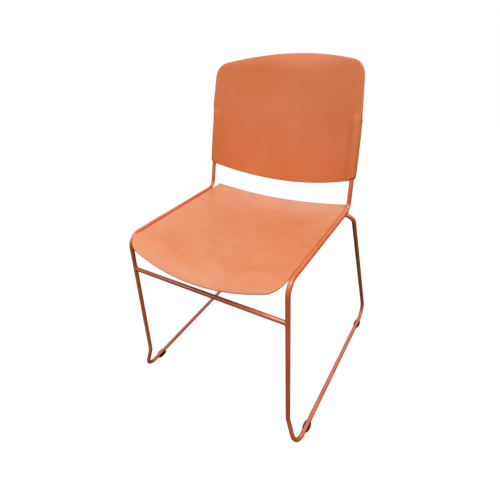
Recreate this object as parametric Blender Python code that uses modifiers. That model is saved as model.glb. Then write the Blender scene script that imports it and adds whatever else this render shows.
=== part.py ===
"""Stacking chair: a bent rod frame with a plastic seat and backrest.

Metres, +Z up. The front of the chair faces -Y, and the floor is z = 0. Two solid steel
rods each make one whole side: upright, seat rail, front leg, floor runner, rear leg and
half of the rear cross. A straight crossbar joins the front legs. The seat lies between
the rails on four welded tabs, the backrest's sleeves slide over the two uprights, and
glides clip onto the runners.
"""
import math

import bmesh
import bpy
from mathutils import Matrix, Vector

# Fits and manufacturing clearances
GAP = 0.0003                  # between pieces that touch
CLIP_GAP = 0.0003             # rod to the channel of a glide
SLEEVE_GAP = 0.0002           # upright to the bore of its sleeve

# Rod frame
ROD_DIAMETER = 0.0103
ROD_RADIUS = ROD_DIAMETER / 2
RAIL_FRONT_HALF_SPACING = 0.1992  # chair's middle to the centre of a seat rail
RAIL_SPREAD = 0.0015          # rails stand this much wider at the back, on each side
SEAT_RAIL_LENGTH = 0.3441     # front corner to rear corner of a rail
RAIL_FRONT_HEIGHT = 0.4440    # rail's front corner above the runner's centre
RAIL_DROP = 0.0078            # rail falls this much towards the back
RUNNER_LENGTH = 0.5367
RUNNER_FRONT_SPLAY = 0.0365   # runner outside the rail's front, on each side
RUNNER_REAR_SPLAY = 0.0427
RAIL_FRONT_SETBACK = 0.0265   # rail's front corner behind the runner's front corner
KINK_HEIGHT = 0.0783          # where the front leg splays, above the runner's centre
KINK_SPLAY = 0.0116
KINK_SETBACK = 0.0109
REAR_LEG_TOP_SPLAY = 0.0164   # outside the rail's rear
UPRIGHT_LENGTH = 0.200
UPRIGHT_LEAN = math.radians(11.4)
UPRIGHT_CONVERGENCE = math.radians(2.2)
BEND_REAR_RAIL = 0.0253
BEND_FRONT_RAIL = 0.030
BEND_KINK = 0.0354
BEND_RUNNER = 0.034
BEND_REAR_CROSS = 0.0244
CROSS_NEST_ANGLE = math.radians(17.7)   # where the rear cross sits under the rail's bend
BEND_STEP = math.radians(13.0)
CROSS_POINTS = 7              # along half of the rear cross
ROD_SIDES = 12
CROSSBAR_FRACTION = 0.245     # down the front leg, from the rail to the kink

# Seat
SEAT_SIDE_GAP = 0.0006        # rod surface to the seat's edge
SEAT_THICKNESS = 0.0040
SEAT_EDGE_RISE = 0.0015       # top of the seat's edge above the rail's centre
SEAT_FRONT_OVERLAP = 0.0177   # seat's front corners ahead of the rail's front corners
SEAT_FRONT_BOW = 0.0173
SEAT_REAR_OVERLAP = 0.0288    # seat's rear corners behind the rail's rear corners
SEAT_REAR_BOW = 0.0055
SEAT_FRONT_CORNER = 0.0364
SEAT_REAR_CORNER = 0.005
SEAT_FRONT_DISH = 0.0177
SEAT_REAR_DISH = 0.0174
WATERFALL_LENGTH = 0.0605
WATERFALL_DROP = 0.0300
WATERFALL_SIDE_EASE = 0.20    # share of the drop lost at the seat's sides
SEAT_COLUMNS = 8              # across half of the middle stretch
SEAT_ROWS = 20
SEAT_CROSS_CLEARANCE = 0.0010

# Seat fastenings
TAB_FROM_RAIL = 0.028         # rail's centre to the screw
TAB_FRONT_FROM_CORNER = 0.050
TAB_REAR_FROM_CORNER = 0.065
TAB_WIDTH = 0.024
TAB_THICKNESS = 0.003
TAB_END = 0.010               # screw's centre to the tab's inner end
TAB_CORNER = 0.005
BOSS_RADIUS = 0.007
BOSS_ROOT = 0.0015            # how far a boss reaches up into the seat
SCREW_RADIUS = 0.0020
SCREW_HOLE_CLEARANCE = 0.0004
SCREW_BITE = 0.0030           # shank inside the boss
HEAD_RADIUS = 0.0042
HEAD_HEIGHT = 0.0026
SOCKET_RADIUS = 0.0016
SOCKET_DEPTH = 0.0014

# Backrest
BACK_THICKNESS = 0.0040
BACK_BOTTOM = 0.0722          # bottom corners, along the upright from the rail
BACK_TOP = 0.3242             # top corners, along the upright from the rail
BACK_BOTTOM_BOW = 0.0323
BACK_TOP_BOW = 0.0265
BACK_OVERHANG = 0.0067        # widest half width beyond the rail's rear
BACK_WIDEST_AT = 0.0228       # along the upright from the rail
BACK_SIDE_CURVE = 0.210       # narrowing, per metre of distance squared
BACK_DISH = 0.0412
BACK_DISH_POWER = 1.2
BACK_EDGE_SETBACK = -0.0075   # front face at the side edges, from the upright's axis
BACK_FLARE_LENGTH = 0.035     # top of the panel that curls back
BACK_FLARE = 0.0035
BACK_TOP_CORNER = 0.0346
BACK_BOTTOM_CORNER = 0.0081
BACK_COLUMNS = 8
BACK_ROWS = 16
SLEEVE_WALL = 0.0019
SLEEVE_BOTTOM_INSET = 0.0020  # above the panel's bottom corners
SLEEVE_TOP_MARGIN = 0.016     # above the tip of the upright
SLEEVE_TIP_ROOM = 0.0020      # bore beyond the tip of the upright
SLEEVE_SIDES = 32
SLEEVE_DOME = 0.006
BACK_SCREW_ABOVE_BOTTOM = 0.060
BACK_SCREW_RADIUS = 0.0016
BACK_SCREW_BITE = 0.0035

# Glides
GLIDE_SOLE = 0.0045           # rod's underside above the floor
GLIDE_LENGTH = 0.032
GLIDE_WIDTH = 0.017
GLIDE_WRAP = 0.0026           # reach above the rod's centre
GLIDE_EDGE = 0.0014
GLIDE_FRONT_FROM_BEND = 0.0267   # end of the runner's bend to the glide's centre
GLIDE_REAR_FROM_BEND = 0.0176

# Stacking buffers
BUFFER_RADIUS = 0.010
BUFFER_HEIGHT = 0.007
BUFFER_STEM_RADIUS = 0.003
BUFFER_STEM_LENGTH = 0.0020
BUFFER_HALF_SPACING = 0.120
BUFFER_FRONT_FROM_CORNER = 0.085
BUFFER_REAR_FROM_CORNER = 0.110

# Places that follow from the sizes above, in the chair's own frame before centring
RAIL_REAR_HALF_SPACING = RAIL_FRONT_HALF_SPACING + RAIL_SPREAD
KINK_HALF_SPACING = RAIL_FRONT_HALF_SPACING + KINK_SPLAY
RUNNER_FRONT_HALF_SPACING = RAIL_FRONT_HALF_SPACING + RUNNER_FRONT_SPLAY
RUNNER_REAR_HALF_SPACING = RAIL_FRONT_HALF_SPACING + RUNNER_REAR_SPLAY
REAR_LEG_TOP_HALF_SPACING = RAIL_REAR_HALF_SPACING + REAR_LEG_TOP_SPLAY
BACK_HALF_WIDTH = RAIL_REAR_HALF_SPACING + BACK_OVERHANG
RUNNER_Z = GLIDE_SOLE + ROD_RADIUS
RUNNER_FRONT_Y = 0.0
RUNNER_REAR_Y = RUNNER_LENGTH
RAIL_FRONT_Y = RUNNER_FRONT_Y + RAIL_FRONT_SETBACK
RAIL_REAR_Y = RAIL_FRONT_Y + SEAT_RAIL_LENGTH
RAIL_FRONT_Z = RUNNER_Z + RAIL_FRONT_HEIGHT
RAIL_REAR_Z = RAIL_FRONT_Z - RAIL_DROP
SEAT_FLARE = SEAT_THICKNESS * 2 * SEAT_FRONT_DISH / RAIL_FRONT_HALF_SPACING
SEAT_INSET = ROD_RADIUS + SEAT_FLARE + SEAT_SIDE_GAP   # rail's centre to the seat's edge
SEAT_HALF_WIDTH = RAIL_FRONT_HALF_SPACING - SEAT_INSET
SEAT_FRONT_Y = RAIL_FRONT_Y - SEAT_FRONT_OVERLAP
SEAT_REAR_Y = RAIL_REAR_Y + SEAT_REAR_OVERLAP
UPRIGHT_DIRECTION = Vector(
    (-math.tan(UPRIGHT_CONVERGENCE), math.tan(UPRIGHT_LEAN), 1.0)).normalized()
BACK_UP = Vector((0.0, math.sin(UPRIGHT_LEAN), math.cos(UPRIGHT_LEAN)))
BACK_REARWARD = Vector((0.0, math.cos(UPRIGHT_LEAN), -math.sin(UPRIGHT_LEAN)))
SLEEVE_OUTER = ROD_RADIUS + SLEEVE_GAP + SLEEVE_WALL

SIDES = {"left": -1, "right": 1}


def rail_height(y):
    """Height of the seat rail's centre at y."""
    return RAIL_FRONT_Z - RAIL_DROP * (y - RAIL_FRONT_Y) / SEAT_RAIL_LENGTH


def rail_half_spacing(y):
    """Distance from the chair's middle to the seat rail's centre at y."""
    along = (y - RAIL_FRONT_Y) / SEAT_RAIL_LENGTH
    return RAIL_FRONT_HALF_SPACING + RAIL_SPREAD * along


def seat_height(x, y):
    """Height of the seat's top face: dished across, and falling away at the front."""
    along = (y - SEAT_FRONT_Y) / (SEAT_REAR_Y - SEAT_FRONT_Y)
    dish = SEAT_FRONT_DISH + (SEAT_REAR_DISH - SEAT_FRONT_DISH) * along
    waterfall_start = SEAT_FRONT_Y - SEAT_FRONT_BOW + WATERFALL_LENGTH
    fall = max(0.0, (waterfall_start - y) / WATERFALL_LENGTH)
    edge = rail_height(y) + SEAT_EDGE_RISE
    across = x / (rail_half_spacing(y) - SEAT_INSET)
    drop = WATERFALL_DROP * (1 - WATERFALL_SIDE_EASE * across ** 4)
    return edge - dish * (1 - across ** 2) - drop * fall ** 2


# ---------------------------------------------------------------- outlines and paths

def corner_profile(half_width, bow, radius):
    """Where a bowed edge meets its corner arc, as (x of the join, arc centre x, y)."""
    centre_x = half_width - radius
    join_x = centre_x
    for _ in range(8):
        slope = 2 * bow * join_x / half_width ** 2
        join_x = centre_x + radius * math.sin(math.atan(slope))
    centre_y = bow * (1 - (join_x / half_width) ** 2) - radius * math.cos(math.atan(slope))
    return join_x, centre_x, centre_y


def edge_reach(x, half_width, bow, radius):
    """How far a bowed edge with rounded corners stands out at x, from its corner line."""
    x = abs(x)
    join_x, centre_x, centre_y = corner_profile(half_width, bow, radius)
    if x <= join_x:
        return bow * (1 - (x / half_width) ** 2)
    across = min(x - centre_x, radius)
    return centre_y + math.sqrt(radius ** 2 - across ** 2)


def column_places(half_width, radius, middle_columns):
    """Places across a panel, even in the middle and by angle round the corner arc."""
    arc_steps = 6
    start = half_width - radius
    right = [start * i / middle_columns for i in range(middle_columns + 1)]
    right += [start + radius * math.sin(math.pi / 2 * i / arc_steps)
              for i in range(1, arc_steps + 1)]
    return [-x for x in reversed(right[1:])] + right


def bend_reach(before, corner, after, radius):
    """Length of straight rod that a bend takes up on each side of its corner."""
    turn = (corner - before).angle(after - corner)
    return radius * math.tan(turn / 2)


def rounded_path(corners, radii):
    """Points along straight runs whose corners are bent to the given radii."""
    points = [corners[0]]
    for before, corner, after, radius in zip(corners, corners[1:], corners[2:], radii):
        if radius == 0.0:
            points.append(corner)
            continue
        arriving = (corner - before).normalized()
        leaving = (after - corner).normalized()
        turn = arriving.angle(leaving)
        start = corner - arriving * bend_reach(before, corner, after, radius)
        inward = (leaving - arriving * arriving.dot(leaving)).normalized()
        steps = max(2, math.ceil(turn / BEND_STEP))
        for i in range(steps + 1):
            angle = turn * i / steps
            points.append(start + arriving * radius * math.sin(angle)
                          + inward * radius * (1 - math.cos(angle)))
    points.append(corners[-1])
    return points


def side_corners(side):
    """Corners of one side rod and their bend radii, from the upright's tip onward."""
    rail_rear = Vector((RAIL_REAR_HALF_SPACING, RAIL_REAR_Y, RAIL_REAR_Z))
    rail_front = Vector((RAIL_FRONT_HALF_SPACING, RAIL_FRONT_Y, RAIL_FRONT_Z))
    tip = rail_rear + UPRIGHT_DIRECTION * UPRIGHT_LENGTH
    kink = Vector((KINK_HALF_SPACING, RUNNER_FRONT_Y + KINK_SETBACK, RUNNER_Z + KINK_HEIGHT))
    runner_front = Vector((RUNNER_FRONT_HALF_SPACING, RUNNER_FRONT_Y, RUNNER_Z))
    runner_rear = Vector((RUNNER_REAR_HALF_SPACING, RUNNER_REAR_Y, RUNNER_Z))
    cross_y, cross_z = rear_cross_place()
    leg_top = Vector((REAR_LEG_TOP_HALF_SPACING, cross_y, cross_z))
    corners = [tip, rail_rear, rail_front, kink, runner_front, runner_rear, leg_top]
    radii = [BEND_REAR_RAIL, BEND_FRONT_RAIL, BEND_KINK, BEND_RUNNER, BEND_RUNNER,
             BEND_REAR_CROSS]
    bend_end = REAR_LEG_TOP_HALF_SPACING - 1.5 * BEND_REAR_CROSS
    for i in range(CROSS_POINTS):
        x = bend_end + (GAP / 2 - bend_end) * i / (CROSS_POINTS - 1)
        corners.append(Vector((x, cross_y, cross_height(x))))
        radii.append(0.0)
    radii.pop()
    return [Vector((side * p.x, p.y, p.z)) for p in corners], radii


def rear_cross_place():
    """Centre of the rear cross beside the rail: it nests under the rail's rear bend."""
    rail = Vector((SEAT_RAIL_LENGTH, -RAIL_DROP)).normalized()
    upright = Vector((UPRIGHT_DIRECTION.y, UPRIGHT_DIRECTION.z)).normalized()
    turn = rail.angle(upright)
    start = Vector((RAIL_REAR_Y, RAIL_REAR_Z)) - rail * BEND_REAR_RAIL * math.tan(turn / 2)
    centre = start + Vector((-rail.y, rail.x)) * BEND_REAR_RAIL
    reach = BEND_REAR_RAIL + ROD_DIAMETER + GAP
    return (centre.x + reach * math.sin(CROSS_NEST_ANGLE),
            centre.y - reach * math.cos(CROSS_NEST_ANGLE))


def cross_height(x):
    """Height of the rear cross at x, a steady clearance below the dished seat."""
    cross_y, _ = rear_cross_place()
    return seat_height(x, cross_y) - SEAT_THICKNESS - SEAT_CROSS_CLEARANCE - ROD_RADIUS


# ---------------------------------------------------------------- scene helpers

def clear_scene():
    """Remove every object that is in the file."""
    for item in list(bpy.data.objects):
        bpy.data.objects.remove(item, do_unlink=True)


def new_collection(name):
    """A collection linked to the scene."""
    collection = bpy.data.collections.new(name)
    bpy.context.scene.collection.children.link(collection)
    return collection


def new_material(name, colour, roughness, metallic=0.0):
    """A plain Principled material."""
    material = bpy.data.materials.new(name)
    material.use_nodes = True
    shader = material.node_tree.nodes["Principled BSDF"]
    shader.inputs["Base Color"].default_value = (*colour, 1.0)
    shader.inputs["Roughness"].default_value = roughness
    shader.inputs["Metallic"].default_value = metallic
    return material


def add_object(name, mesh, collection, material=None, matrix=None):
    """Link a mesh as a named object."""
    item = bpy.data.objects.new(name, mesh)
    if material:
        mesh.materials.append(material)
    if matrix:
        item.matrix_world = matrix
    collection.objects.link(item)
    return item


def smooth(mesh, angle=math.radians(35)):
    """Smooth shading that keeps real edges sharp."""
    mesh.shade_smooth()
    mesh.set_sharp_from_angle(angle=angle)


def frame_at(origin, up, forward=Vector((0, 1, 0))):
    """A placement whose Z runs along up and whose Y leans towards forward."""
    z_axis = up.normalized()
    x_axis = forward.cross(z_axis).normalized()
    y_axis = z_axis.cross(x_axis)
    rotation = Matrix((x_axis, y_axis, z_axis)).transposed()
    return Matrix.Translation(origin) @ rotation.to_4x4()


def cylinder_mesh(name, radius, bottom, top, sides=24):
    """A closed cylinder about Z between two heights."""
    mesh = bpy.data.meshes.new(name)
    shape = bmesh.new()
    bmesh.ops.create_cone(shape, cap_ends=True, segments=sides, radius1=radius,
                          radius2=radius, depth=top - bottom,
                          matrix=Matrix.Translation((0, 0, (top + bottom) / 2)))
    shape.to_mesh(mesh)
    shape.free()
    return mesh


def add_cutter(name, mesh, collection, matrix):
    """An object that only serves Boolean modifiers."""
    item = add_object(name, mesh, collection, matrix=matrix)
    item.hide_render = True
    item.display_type = "WIRE"
    return item


def combine(item, other, operation):
    """Boolean modifier with the exact solver."""
    modifier = item.modifiers.new(f"{operation.lower()}_{other.name}", "BOOLEAN")
    modifier.object = other
    modifier.operation = operation
    modifier.solver = "EXACT"


def rod_from_path(name, points, collection, material):
    """A round rod along the points, as a closed mesh."""
    curve = bpy.data.curves.new(name + "_path", "CURVE")
    curve.dimensions = "3D"
    curve.bevel_depth = ROD_RADIUS
    curve.bevel_resolution = (ROD_SIDES - 4) // 2
    curve.use_fill_caps = True
    spline = curve.splines.new("POLY")
    spline.points.add(len(points) - 1)
    for place, point in zip(spline.points, points):
        place.co = (*point, 1.0)
    guide = bpy.data.objects.new(name + "_path", curve)
    collection.objects.link(guide)
    bpy.context.view_layer.update()
    evaluated = guide.evaluated_get(bpy.context.evaluated_depsgraph_get())
    mesh = bpy.data.meshes.new_from_object(evaluated)
    mesh.name = name
    shape = bmesh.new()
    shape.from_mesh(mesh)
    bmesh.ops.remove_doubles(shape, verts=shape.verts, dist=0.00001)
    shape.to_mesh(mesh)
    shape.free()
    smooth(mesh)
    matrix = guide.matrix_world.copy()
    bpy.data.objects.remove(guide)
    bpy.data.curves.remove(curve)
    return add_object(name, mesh, collection, material, matrix)


def grid_mesh(name, rows):
    """An open sheet whose rows of points run side by side."""
    mesh = bpy.data.meshes.new(name)
    shape = bmesh.new()
    bmesh.ops.create_grid(shape, x_segments=len(rows[0]) - 1, y_segments=len(rows) - 1,
                          size=0.5)
    ordered = sorted(shape.verts, key=lambda v: (round(v.co.y, 6), v.co.x))
    for vertex, point in zip(ordered, [point for row in rows for point in row]):
        vertex.co = point
    shape.to_mesh(mesh)
    shape.free()
    return mesh


def turned_mesh(name, profile, sides=24):
    """A closed solid of revolution about Z from (radius, height) pairs."""
    mesh = bpy.data.meshes.new(name)
    shape = bmesh.new()
    ring = [shape.verts.new((radius, 0.0, height)) for radius, height in profile]
    edges = [shape.edges.new(pair) for pair in zip(ring, ring[1:])]
    bmesh.ops.spin(shape, geom=ring + edges, axis=(0, 0, 1), cent=(0, 0, 0),
                   steps=sides, angle=2 * math.pi)
    bmesh.ops.remove_doubles(shape, verts=shape.verts, dist=0.00001)
    bmesh.ops.recalc_face_normals(shape, faces=shape.faces)
    shape.to_mesh(mesh)
    shape.free()
    smooth(mesh)
    return mesh


def block_mesh(name, low, high, corner_radius, corner_steps, rim=0.0):
    """A block between two corners, its upright edges rounded and its rims eased."""
    mesh = bpy.data.meshes.new(name)
    shape = bmesh.new()
    size = [b - a for a, b in zip(low, high)]
    middle = [(a + b) / 2 for a, b in zip(low, high)]
    bmesh.ops.create_cube(shape, size=1.0, matrix=Matrix.Translation(middle)
                          @ Matrix.Diagonal((*size, 1.0)))
    upright = [e for e in shape.edges
               if abs(e.verts[0].co.z - e.verts[1].co.z) > size[2] / 2]
    bmesh.ops.bevel(shape, geom=upright, offset=corner_radius, segments=corner_steps,
                    profile=0.5, affect="EDGES")
    if rim:
        level = [e for e in shape.edges
                 if abs(e.verts[0].co.z - e.verts[1].co.z) < 1e-6
                 and not all(abs(f.normal.z) > 0.9 for f in e.link_faces)]
        bmesh.ops.bevel(shape, geom=level, offset=rim, segments=2, profile=0.5,
                        affect="EDGES")
    shape.to_mesh(mesh)
    shape.free()
    smooth(mesh)
    return mesh


def hole_radius(radius, sides=24):
    """Radius of a many-sided hole whose flats still clear the given radius."""
    return radius / math.cos(math.pi / sides)


def screw_mesh(name, shank_radius, tip, seat, head_radius=HEAD_RADIUS):
    """A pan-head screw about Z: tip up, head below the height called seat."""
    ease = HEAD_HEIGHT * 0.3
    foot = seat - HEAD_HEIGHT
    profile = [(0.0, foot + SOCKET_DEPTH), (SOCKET_RADIUS, foot + SOCKET_DEPTH),
               (SOCKET_RADIUS, foot), (head_radius - ease, foot),
               (head_radius, foot + ease), (head_radius, seat), (shank_radius, seat),
               (shank_radius, tip), (0.0, tip)]
    return turned_mesh(name, profile, sides=16)


# ---------------------------------------------------------------- the pieces

class Workshop:
    """The two collections and the materials that every piece draws on."""

    def __init__(self):
        self.chair = new_collection("stacking_chair")
        self.cutters = new_collection("cutters")
        self.painted_steel = new_material("painted_steel", (0.60, 0.16, 0.05), 0.42)
        self.seat_plastic = new_material("seat_plastic", (0.72, 0.26, 0.11), 0.50)
        self.back_plastic = new_material("back_plastic", (0.66, 0.20, 0.07), 0.50)
        self.black_plastic = new_material("black_plastic", (0.02, 0.02, 0.02), 0.55)
        self.rubber = new_material("buffer_rubber", (0.03, 0.03, 0.03), 0.75)
        self.screw_steel = new_material("screw_steel", (0.55, 0.55, 0.56), 0.30, 1.0)

    def cutter(self, name, mesh, matrix):
        """A Boolean helper in the cutters' collection."""
        return add_cutter(name, mesh, self.cutters, matrix)


def seat_underside(x, y):
    """Placement on the seat's underside at (x, y), with Z out of the top face."""
    step = 0.001
    slope_x = (seat_height(x + step, y) - seat_height(x - step, y)) / (2 * step)
    slope_y = (seat_height(x, y + step) - seat_height(x, y - step)) / (2 * step)
    normal = Vector((-slope_x, -slope_y, 1.0)).normalized()
    return frame_at(Vector((x, y, seat_height(x, y))) - normal * SEAT_THICKNESS, normal)


def tab_places():
    """Name, side and placement of each welded seat tab."""
    spots = {"front": RAIL_FRONT_Y + TAB_FRONT_FROM_CORNER,
             "rear": RAIL_REAR_Y - TAB_REAR_FROM_CORNER}
    for end, y in spots.items():
        for name, side in SIDES.items():
            x = side * (rail_half_spacing(y) - TAB_FROM_RAIL)
            yield f"{end}_{name}", side, seat_underside(x, y)


def tab_levels(placement, side):
    """Rail's place across a tab, and the tab's top, in the tab's own frame."""
    origin = placement.translation
    rail = Vector((side * rail_half_spacing(origin.y), origin.y, rail_height(origin.y)))
    local = placement.inverted() @ rail
    return local.x, local.z - ROD_RADIUS - GAP


def buffer_places():
    """Name and placement of each stacking buffer under the seat."""
    spots = {"front": RAIL_FRONT_Y + BUFFER_FRONT_FROM_CORNER,
             "rear": RAIL_REAR_Y - BUFFER_REAR_FROM_CORNER}
    for end, y in spots.items():
        for name, side in SIDES.items():
            yield f"{end}_{name}", seat_underside(side * BUFFER_HALF_SPACING, y)


def upright_place(side, height, across=None):
    """Placement on an upright's axis, this far up the backrest from the rail."""
    foot = Vector((side * RAIL_REAR_HALF_SPACING, RAIL_REAR_Y, RAIL_REAR_Z))
    direction = Vector((side * UPRIGHT_DIRECTION.x, UPRIGHT_DIRECTION.y,
                        UPRIGHT_DIRECTION.z))
    point = foot + direction * (height / direction.dot(BACK_UP))
    if across is None:
        return frame_at(point, direction)
    return frame_at(point, across, forward=direction)


def build_frame(shop):
    """The two side rods, with their screw holes, and the front crossbar."""
    screw_height = BACK_BOTTOM + BACK_SCREW_ABOVE_BOTTOM
    for name, side in SIDES.items():
        rod = rod_from_path(f"{name}_side_rod", rounded_path(*side_corners(side)),
                            shop.chair, shop.painted_steel)
        hole = cylinder_mesh(f"{name}_rod_hole", BACK_SCREW_RADIUS + GAP,
                             ROD_RADIUS - BACK_SCREW_BITE - GAP, 2 * ROD_RADIUS, 12)
        place = upright_place(side, screw_height, across=BACK_REARWARD)
        combine(rod, shop.cutter(f"{name}_rod_hole", hole, place), "DIFFERENCE")
    corners, _ = side_corners(1)
    rail_front, kink = corners[2], corners[3]
    joint = rail_front.lerp(kink, CROSSBAR_FRACTION)
    reach = joint.x - ROD_RADIUS - GAP
    ends = [Vector((-reach, joint.y, joint.z)), Vector((reach, joint.y, joint.z))]
    rod_from_path("front_crossbar", ends, shop.chair, shop.painted_steel)


def build_seat(shop):
    """The dished seat with its four screw bosses and the buffers' holes."""
    columns = column_places(SEAT_HALF_WIDTH, SEAT_FRONT_CORNER, SEAT_COLUMNS)
    rows = []
    for i in range(SEAT_ROWS + 1):
        row = []
        for x in columns:
            front = SEAT_FRONT_Y - edge_reach(x, SEAT_HALF_WIDTH, SEAT_FRONT_BOW,
                                              SEAT_FRONT_CORNER)
            rear = SEAT_REAR_Y + edge_reach(x, SEAT_HALF_WIDTH, SEAT_REAR_BOW,
                                            SEAT_REAR_CORNER)
            y = front + (rear - front) * i / SEAT_ROWS
            spread = x * (rail_half_spacing(y) - SEAT_INSET) / SEAT_HALF_WIDTH
            row.append((spread, y, seat_height(spread, y)))
        rows.append(row)
    mesh = grid_mesh("seat_shell", rows)
    smooth(mesh)
    seat = add_object("seat_shell", mesh, shop.chair, shop.seat_plastic)
    add_thickness(seat, SEAT_THICKNESS)
    for name, side, place in tab_places():
        _, tab_top = tab_levels(place, side)
        boss_foot = tab_top + GAP
        boss = cylinder_mesh(f"boss_{name}", BOSS_RADIUS, boss_foot, BOSS_ROOT, 20)
        combine(seat, shop.cutter(f"boss_{name}", boss, place), "UNION")
        pilot = cylinder_mesh(f"pilot_{name}", SCREW_RADIUS + GAP, boss_foot - 2 * GAP,
                              boss_foot + SCREW_BITE + GAP, 16)
        combine(seat, shop.cutter(f"pilot_{name}", pilot, place), "DIFFERENCE")
    for name, place in buffer_places():
        hole = cylinder_mesh(f"buffer_hole_{name}", BUFFER_STEM_RADIUS + GAP,
                             -SEAT_THICKNESS, BUFFER_STEM_LENGTH + GAP, 16)
        combine(seat, shop.cutter(f"buffer_hole_{name}", hole, place), "DIFFERENCE")


def add_thickness(item, thickness):
    """Give an open sheet its thickness, behind its face."""
    modifier = item.modifiers.new("thickness", "SOLIDIFY")
    modifier.thickness = thickness
    modifier.offset = -1.0
    modifier.use_even_offset = True
    modifier.use_rim = True


def build_seat_fastenings(shop):
    """Welded tabs and their screws, one set at each corner of the seat."""
    for name, side, place in tab_places():
        rail_x, top = tab_levels(place, side)
        ends = sorted((side * -TAB_END, rail_x))
        low = (ends[0], -TAB_WIDTH / 2, top - TAB_THICKNESS)
        high = (ends[1], TAB_WIDTH / 2, top)
        plate = block_mesh(f"seat_tab_{name}", low, high, TAB_CORNER, 3)
        tab = add_object(f"seat_tab_{name}", plate, shop.chair, shop.painted_steel, place)
        hole = cylinder_mesh(f"tab_hole_{name}", SCREW_RADIUS + SCREW_HOLE_CLEARANCE,
                             low[2] - GAP, top + GAP, 16)
        combine(tab, shop.cutter(f"tab_hole_{name}", hole, place), "DIFFERENCE")
        screw = screw_mesh(f"seat_screw_{name}", SCREW_RADIUS, top + GAP + SCREW_BITE,
                           low[2] - GAP)
        add_object(f"seat_screw_{name}", screw, shop.chair, shop.screw_steel, place)


def build_buffers(shop):
    """Rubber pads plugged into the seat's underside."""
    ease = BUFFER_HEIGHT * 0.25
    for name, place in buffer_places():
        profile = [(0.0, -BUFFER_HEIGHT), (BUFFER_RADIUS - ease, -BUFFER_HEIGHT),
                   (BUFFER_RADIUS, -BUFFER_HEIGHT + ease), (BUFFER_RADIUS, -GAP),
                   (BUFFER_STEM_RADIUS, -GAP), (BUFFER_STEM_RADIUS, BUFFER_STEM_LENGTH),
                   (0.0, BUFFER_STEM_LENGTH)]
        pad = turned_mesh(f"stacking_buffer_{name}", profile, sides=20)
        add_object(f"stacking_buffer_{name}", pad, shop.chair, shop.rubber, place)


def back_half_width(height):
    """Half width of the backrest, this far up from the rail."""
    return BACK_HALF_WIDTH - BACK_SIDE_CURVE * (height - BACK_WIDEST_AT) ** 2


def back_point(share, height):
    """Point on the backrest's front face, at a share of its half width."""
    flare_start = BACK_TOP + BACK_TOP_BOW - BACK_FLARE_LENGTH
    flare = max(0.0, (height - flare_start) / BACK_FLARE_LENGTH)
    depth = (BACK_EDGE_SETBACK + BACK_DISH * (1 - share ** 2) ** BACK_DISH_POWER
             + BACK_FLARE * flare ** 2)
    base = Vector((0.0, RAIL_REAR_Y, RAIL_REAR_Z))
    across = Vector((share * back_half_width(height), 0.0, 0.0))
    return base + across + BACK_UP * height + BACK_REARWARD * depth


def sleeve_mesh(name, length):
    """Outside of a sleeve: a round post with a domed top."""
    mesh = bpy.data.meshes.new(name)
    shape = bmesh.new()
    bmesh.ops.create_cone(shape, cap_ends=True, segments=SLEEVE_SIDES,
                          radius1=SLEEVE_OUTER, radius2=SLEEVE_OUTER, depth=length,
                          matrix=Matrix.Translation((0, 0, length / 2)))
    rim = [e for e in shape.edges if all(v.co.z > length * 0.9 for v in e.verts)]
    bmesh.ops.bevel(shape, geom=rim, offset=SLEEVE_DOME, segments=4, profile=0.5,
                    affect="EDGES")
    shape.to_mesh(mesh)
    shape.free()
    return mesh


def build_backrest(shop):
    """The curved backrest with a blind sleeve down each side, and its two screws."""
    columns = column_places(BACK_HALF_WIDTH, BACK_TOP_CORNER, BACK_COLUMNS)
    rows = []
    for i in range(BACK_ROWS + 1):
        row = []
        for x in columns:
            bottom = BACK_BOTTOM - edge_reach(x, BACK_HALF_WIDTH, BACK_BOTTOM_BOW,
                                              BACK_BOTTOM_CORNER)
            top = BACK_TOP + edge_reach(x, BACK_HALF_WIDTH, BACK_TOP_BOW, BACK_TOP_CORNER)
            height = bottom + (top - bottom) * i / BACK_ROWS
            row.append(back_point(x / BACK_HALF_WIDTH, height))
        rows.append(row)
    mesh = grid_mesh("backrest_shell", rows)
    smooth(mesh)
    back = add_object("backrest_shell", mesh, shop.chair, shop.back_plastic)
    add_thickness(back, BACK_THICKNESS)
    sleeve_foot = BACK_BOTTOM + SLEEVE_BOTTOM_INSET
    screw_height = BACK_BOTTOM + BACK_SCREW_ABOVE_BOTTOM
    along = UPRIGHT_DIRECTION.dot(BACK_UP)
    tip = UPRIGHT_LENGTH - sleeve_foot / along
    for name, side in SIDES.items():
        place = upright_place(side, sleeve_foot)
        outer = sleeve_mesh(f"{name}_sleeve", tip + SLEEVE_TOP_MARGIN)
        combine(back, shop.cutter(f"{name}_sleeve", outer, place), "UNION")
        bore = cylinder_mesh(f"{name}_bore", hole_radius(ROD_RADIUS + SLEEVE_GAP),
                             -sleeve_foot / 2, tip + SLEEVE_TIP_ROOM)
        combine(back, shop.cutter(f"{name}_bore", bore, place), "DIFFERENCE")
        across = upright_place(side, screw_height, across=-BACK_REARWARD)
        hole = cylinder_mesh(f"{name}_sleeve_hole",
                             BACK_SCREW_RADIUS + SCREW_HOLE_CLEARANCE,
                             -2 * SLEEVE_OUTER, 0.0, 12)
        combine(back, shop.cutter(f"{name}_sleeve_hole", hole, across), "DIFFERENCE")
        screw = screw_mesh(f"backrest_screw_{name}", BACK_SCREW_RADIUS,
                           BACK_SCREW_BITE - ROD_RADIUS, -SLEEVE_OUTER - GAP,
                           HEAD_RADIUS * 0.8)
        add_object(f"backrest_screw_{name}", screw, shop.chair, shop.screw_steel, across)


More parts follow.
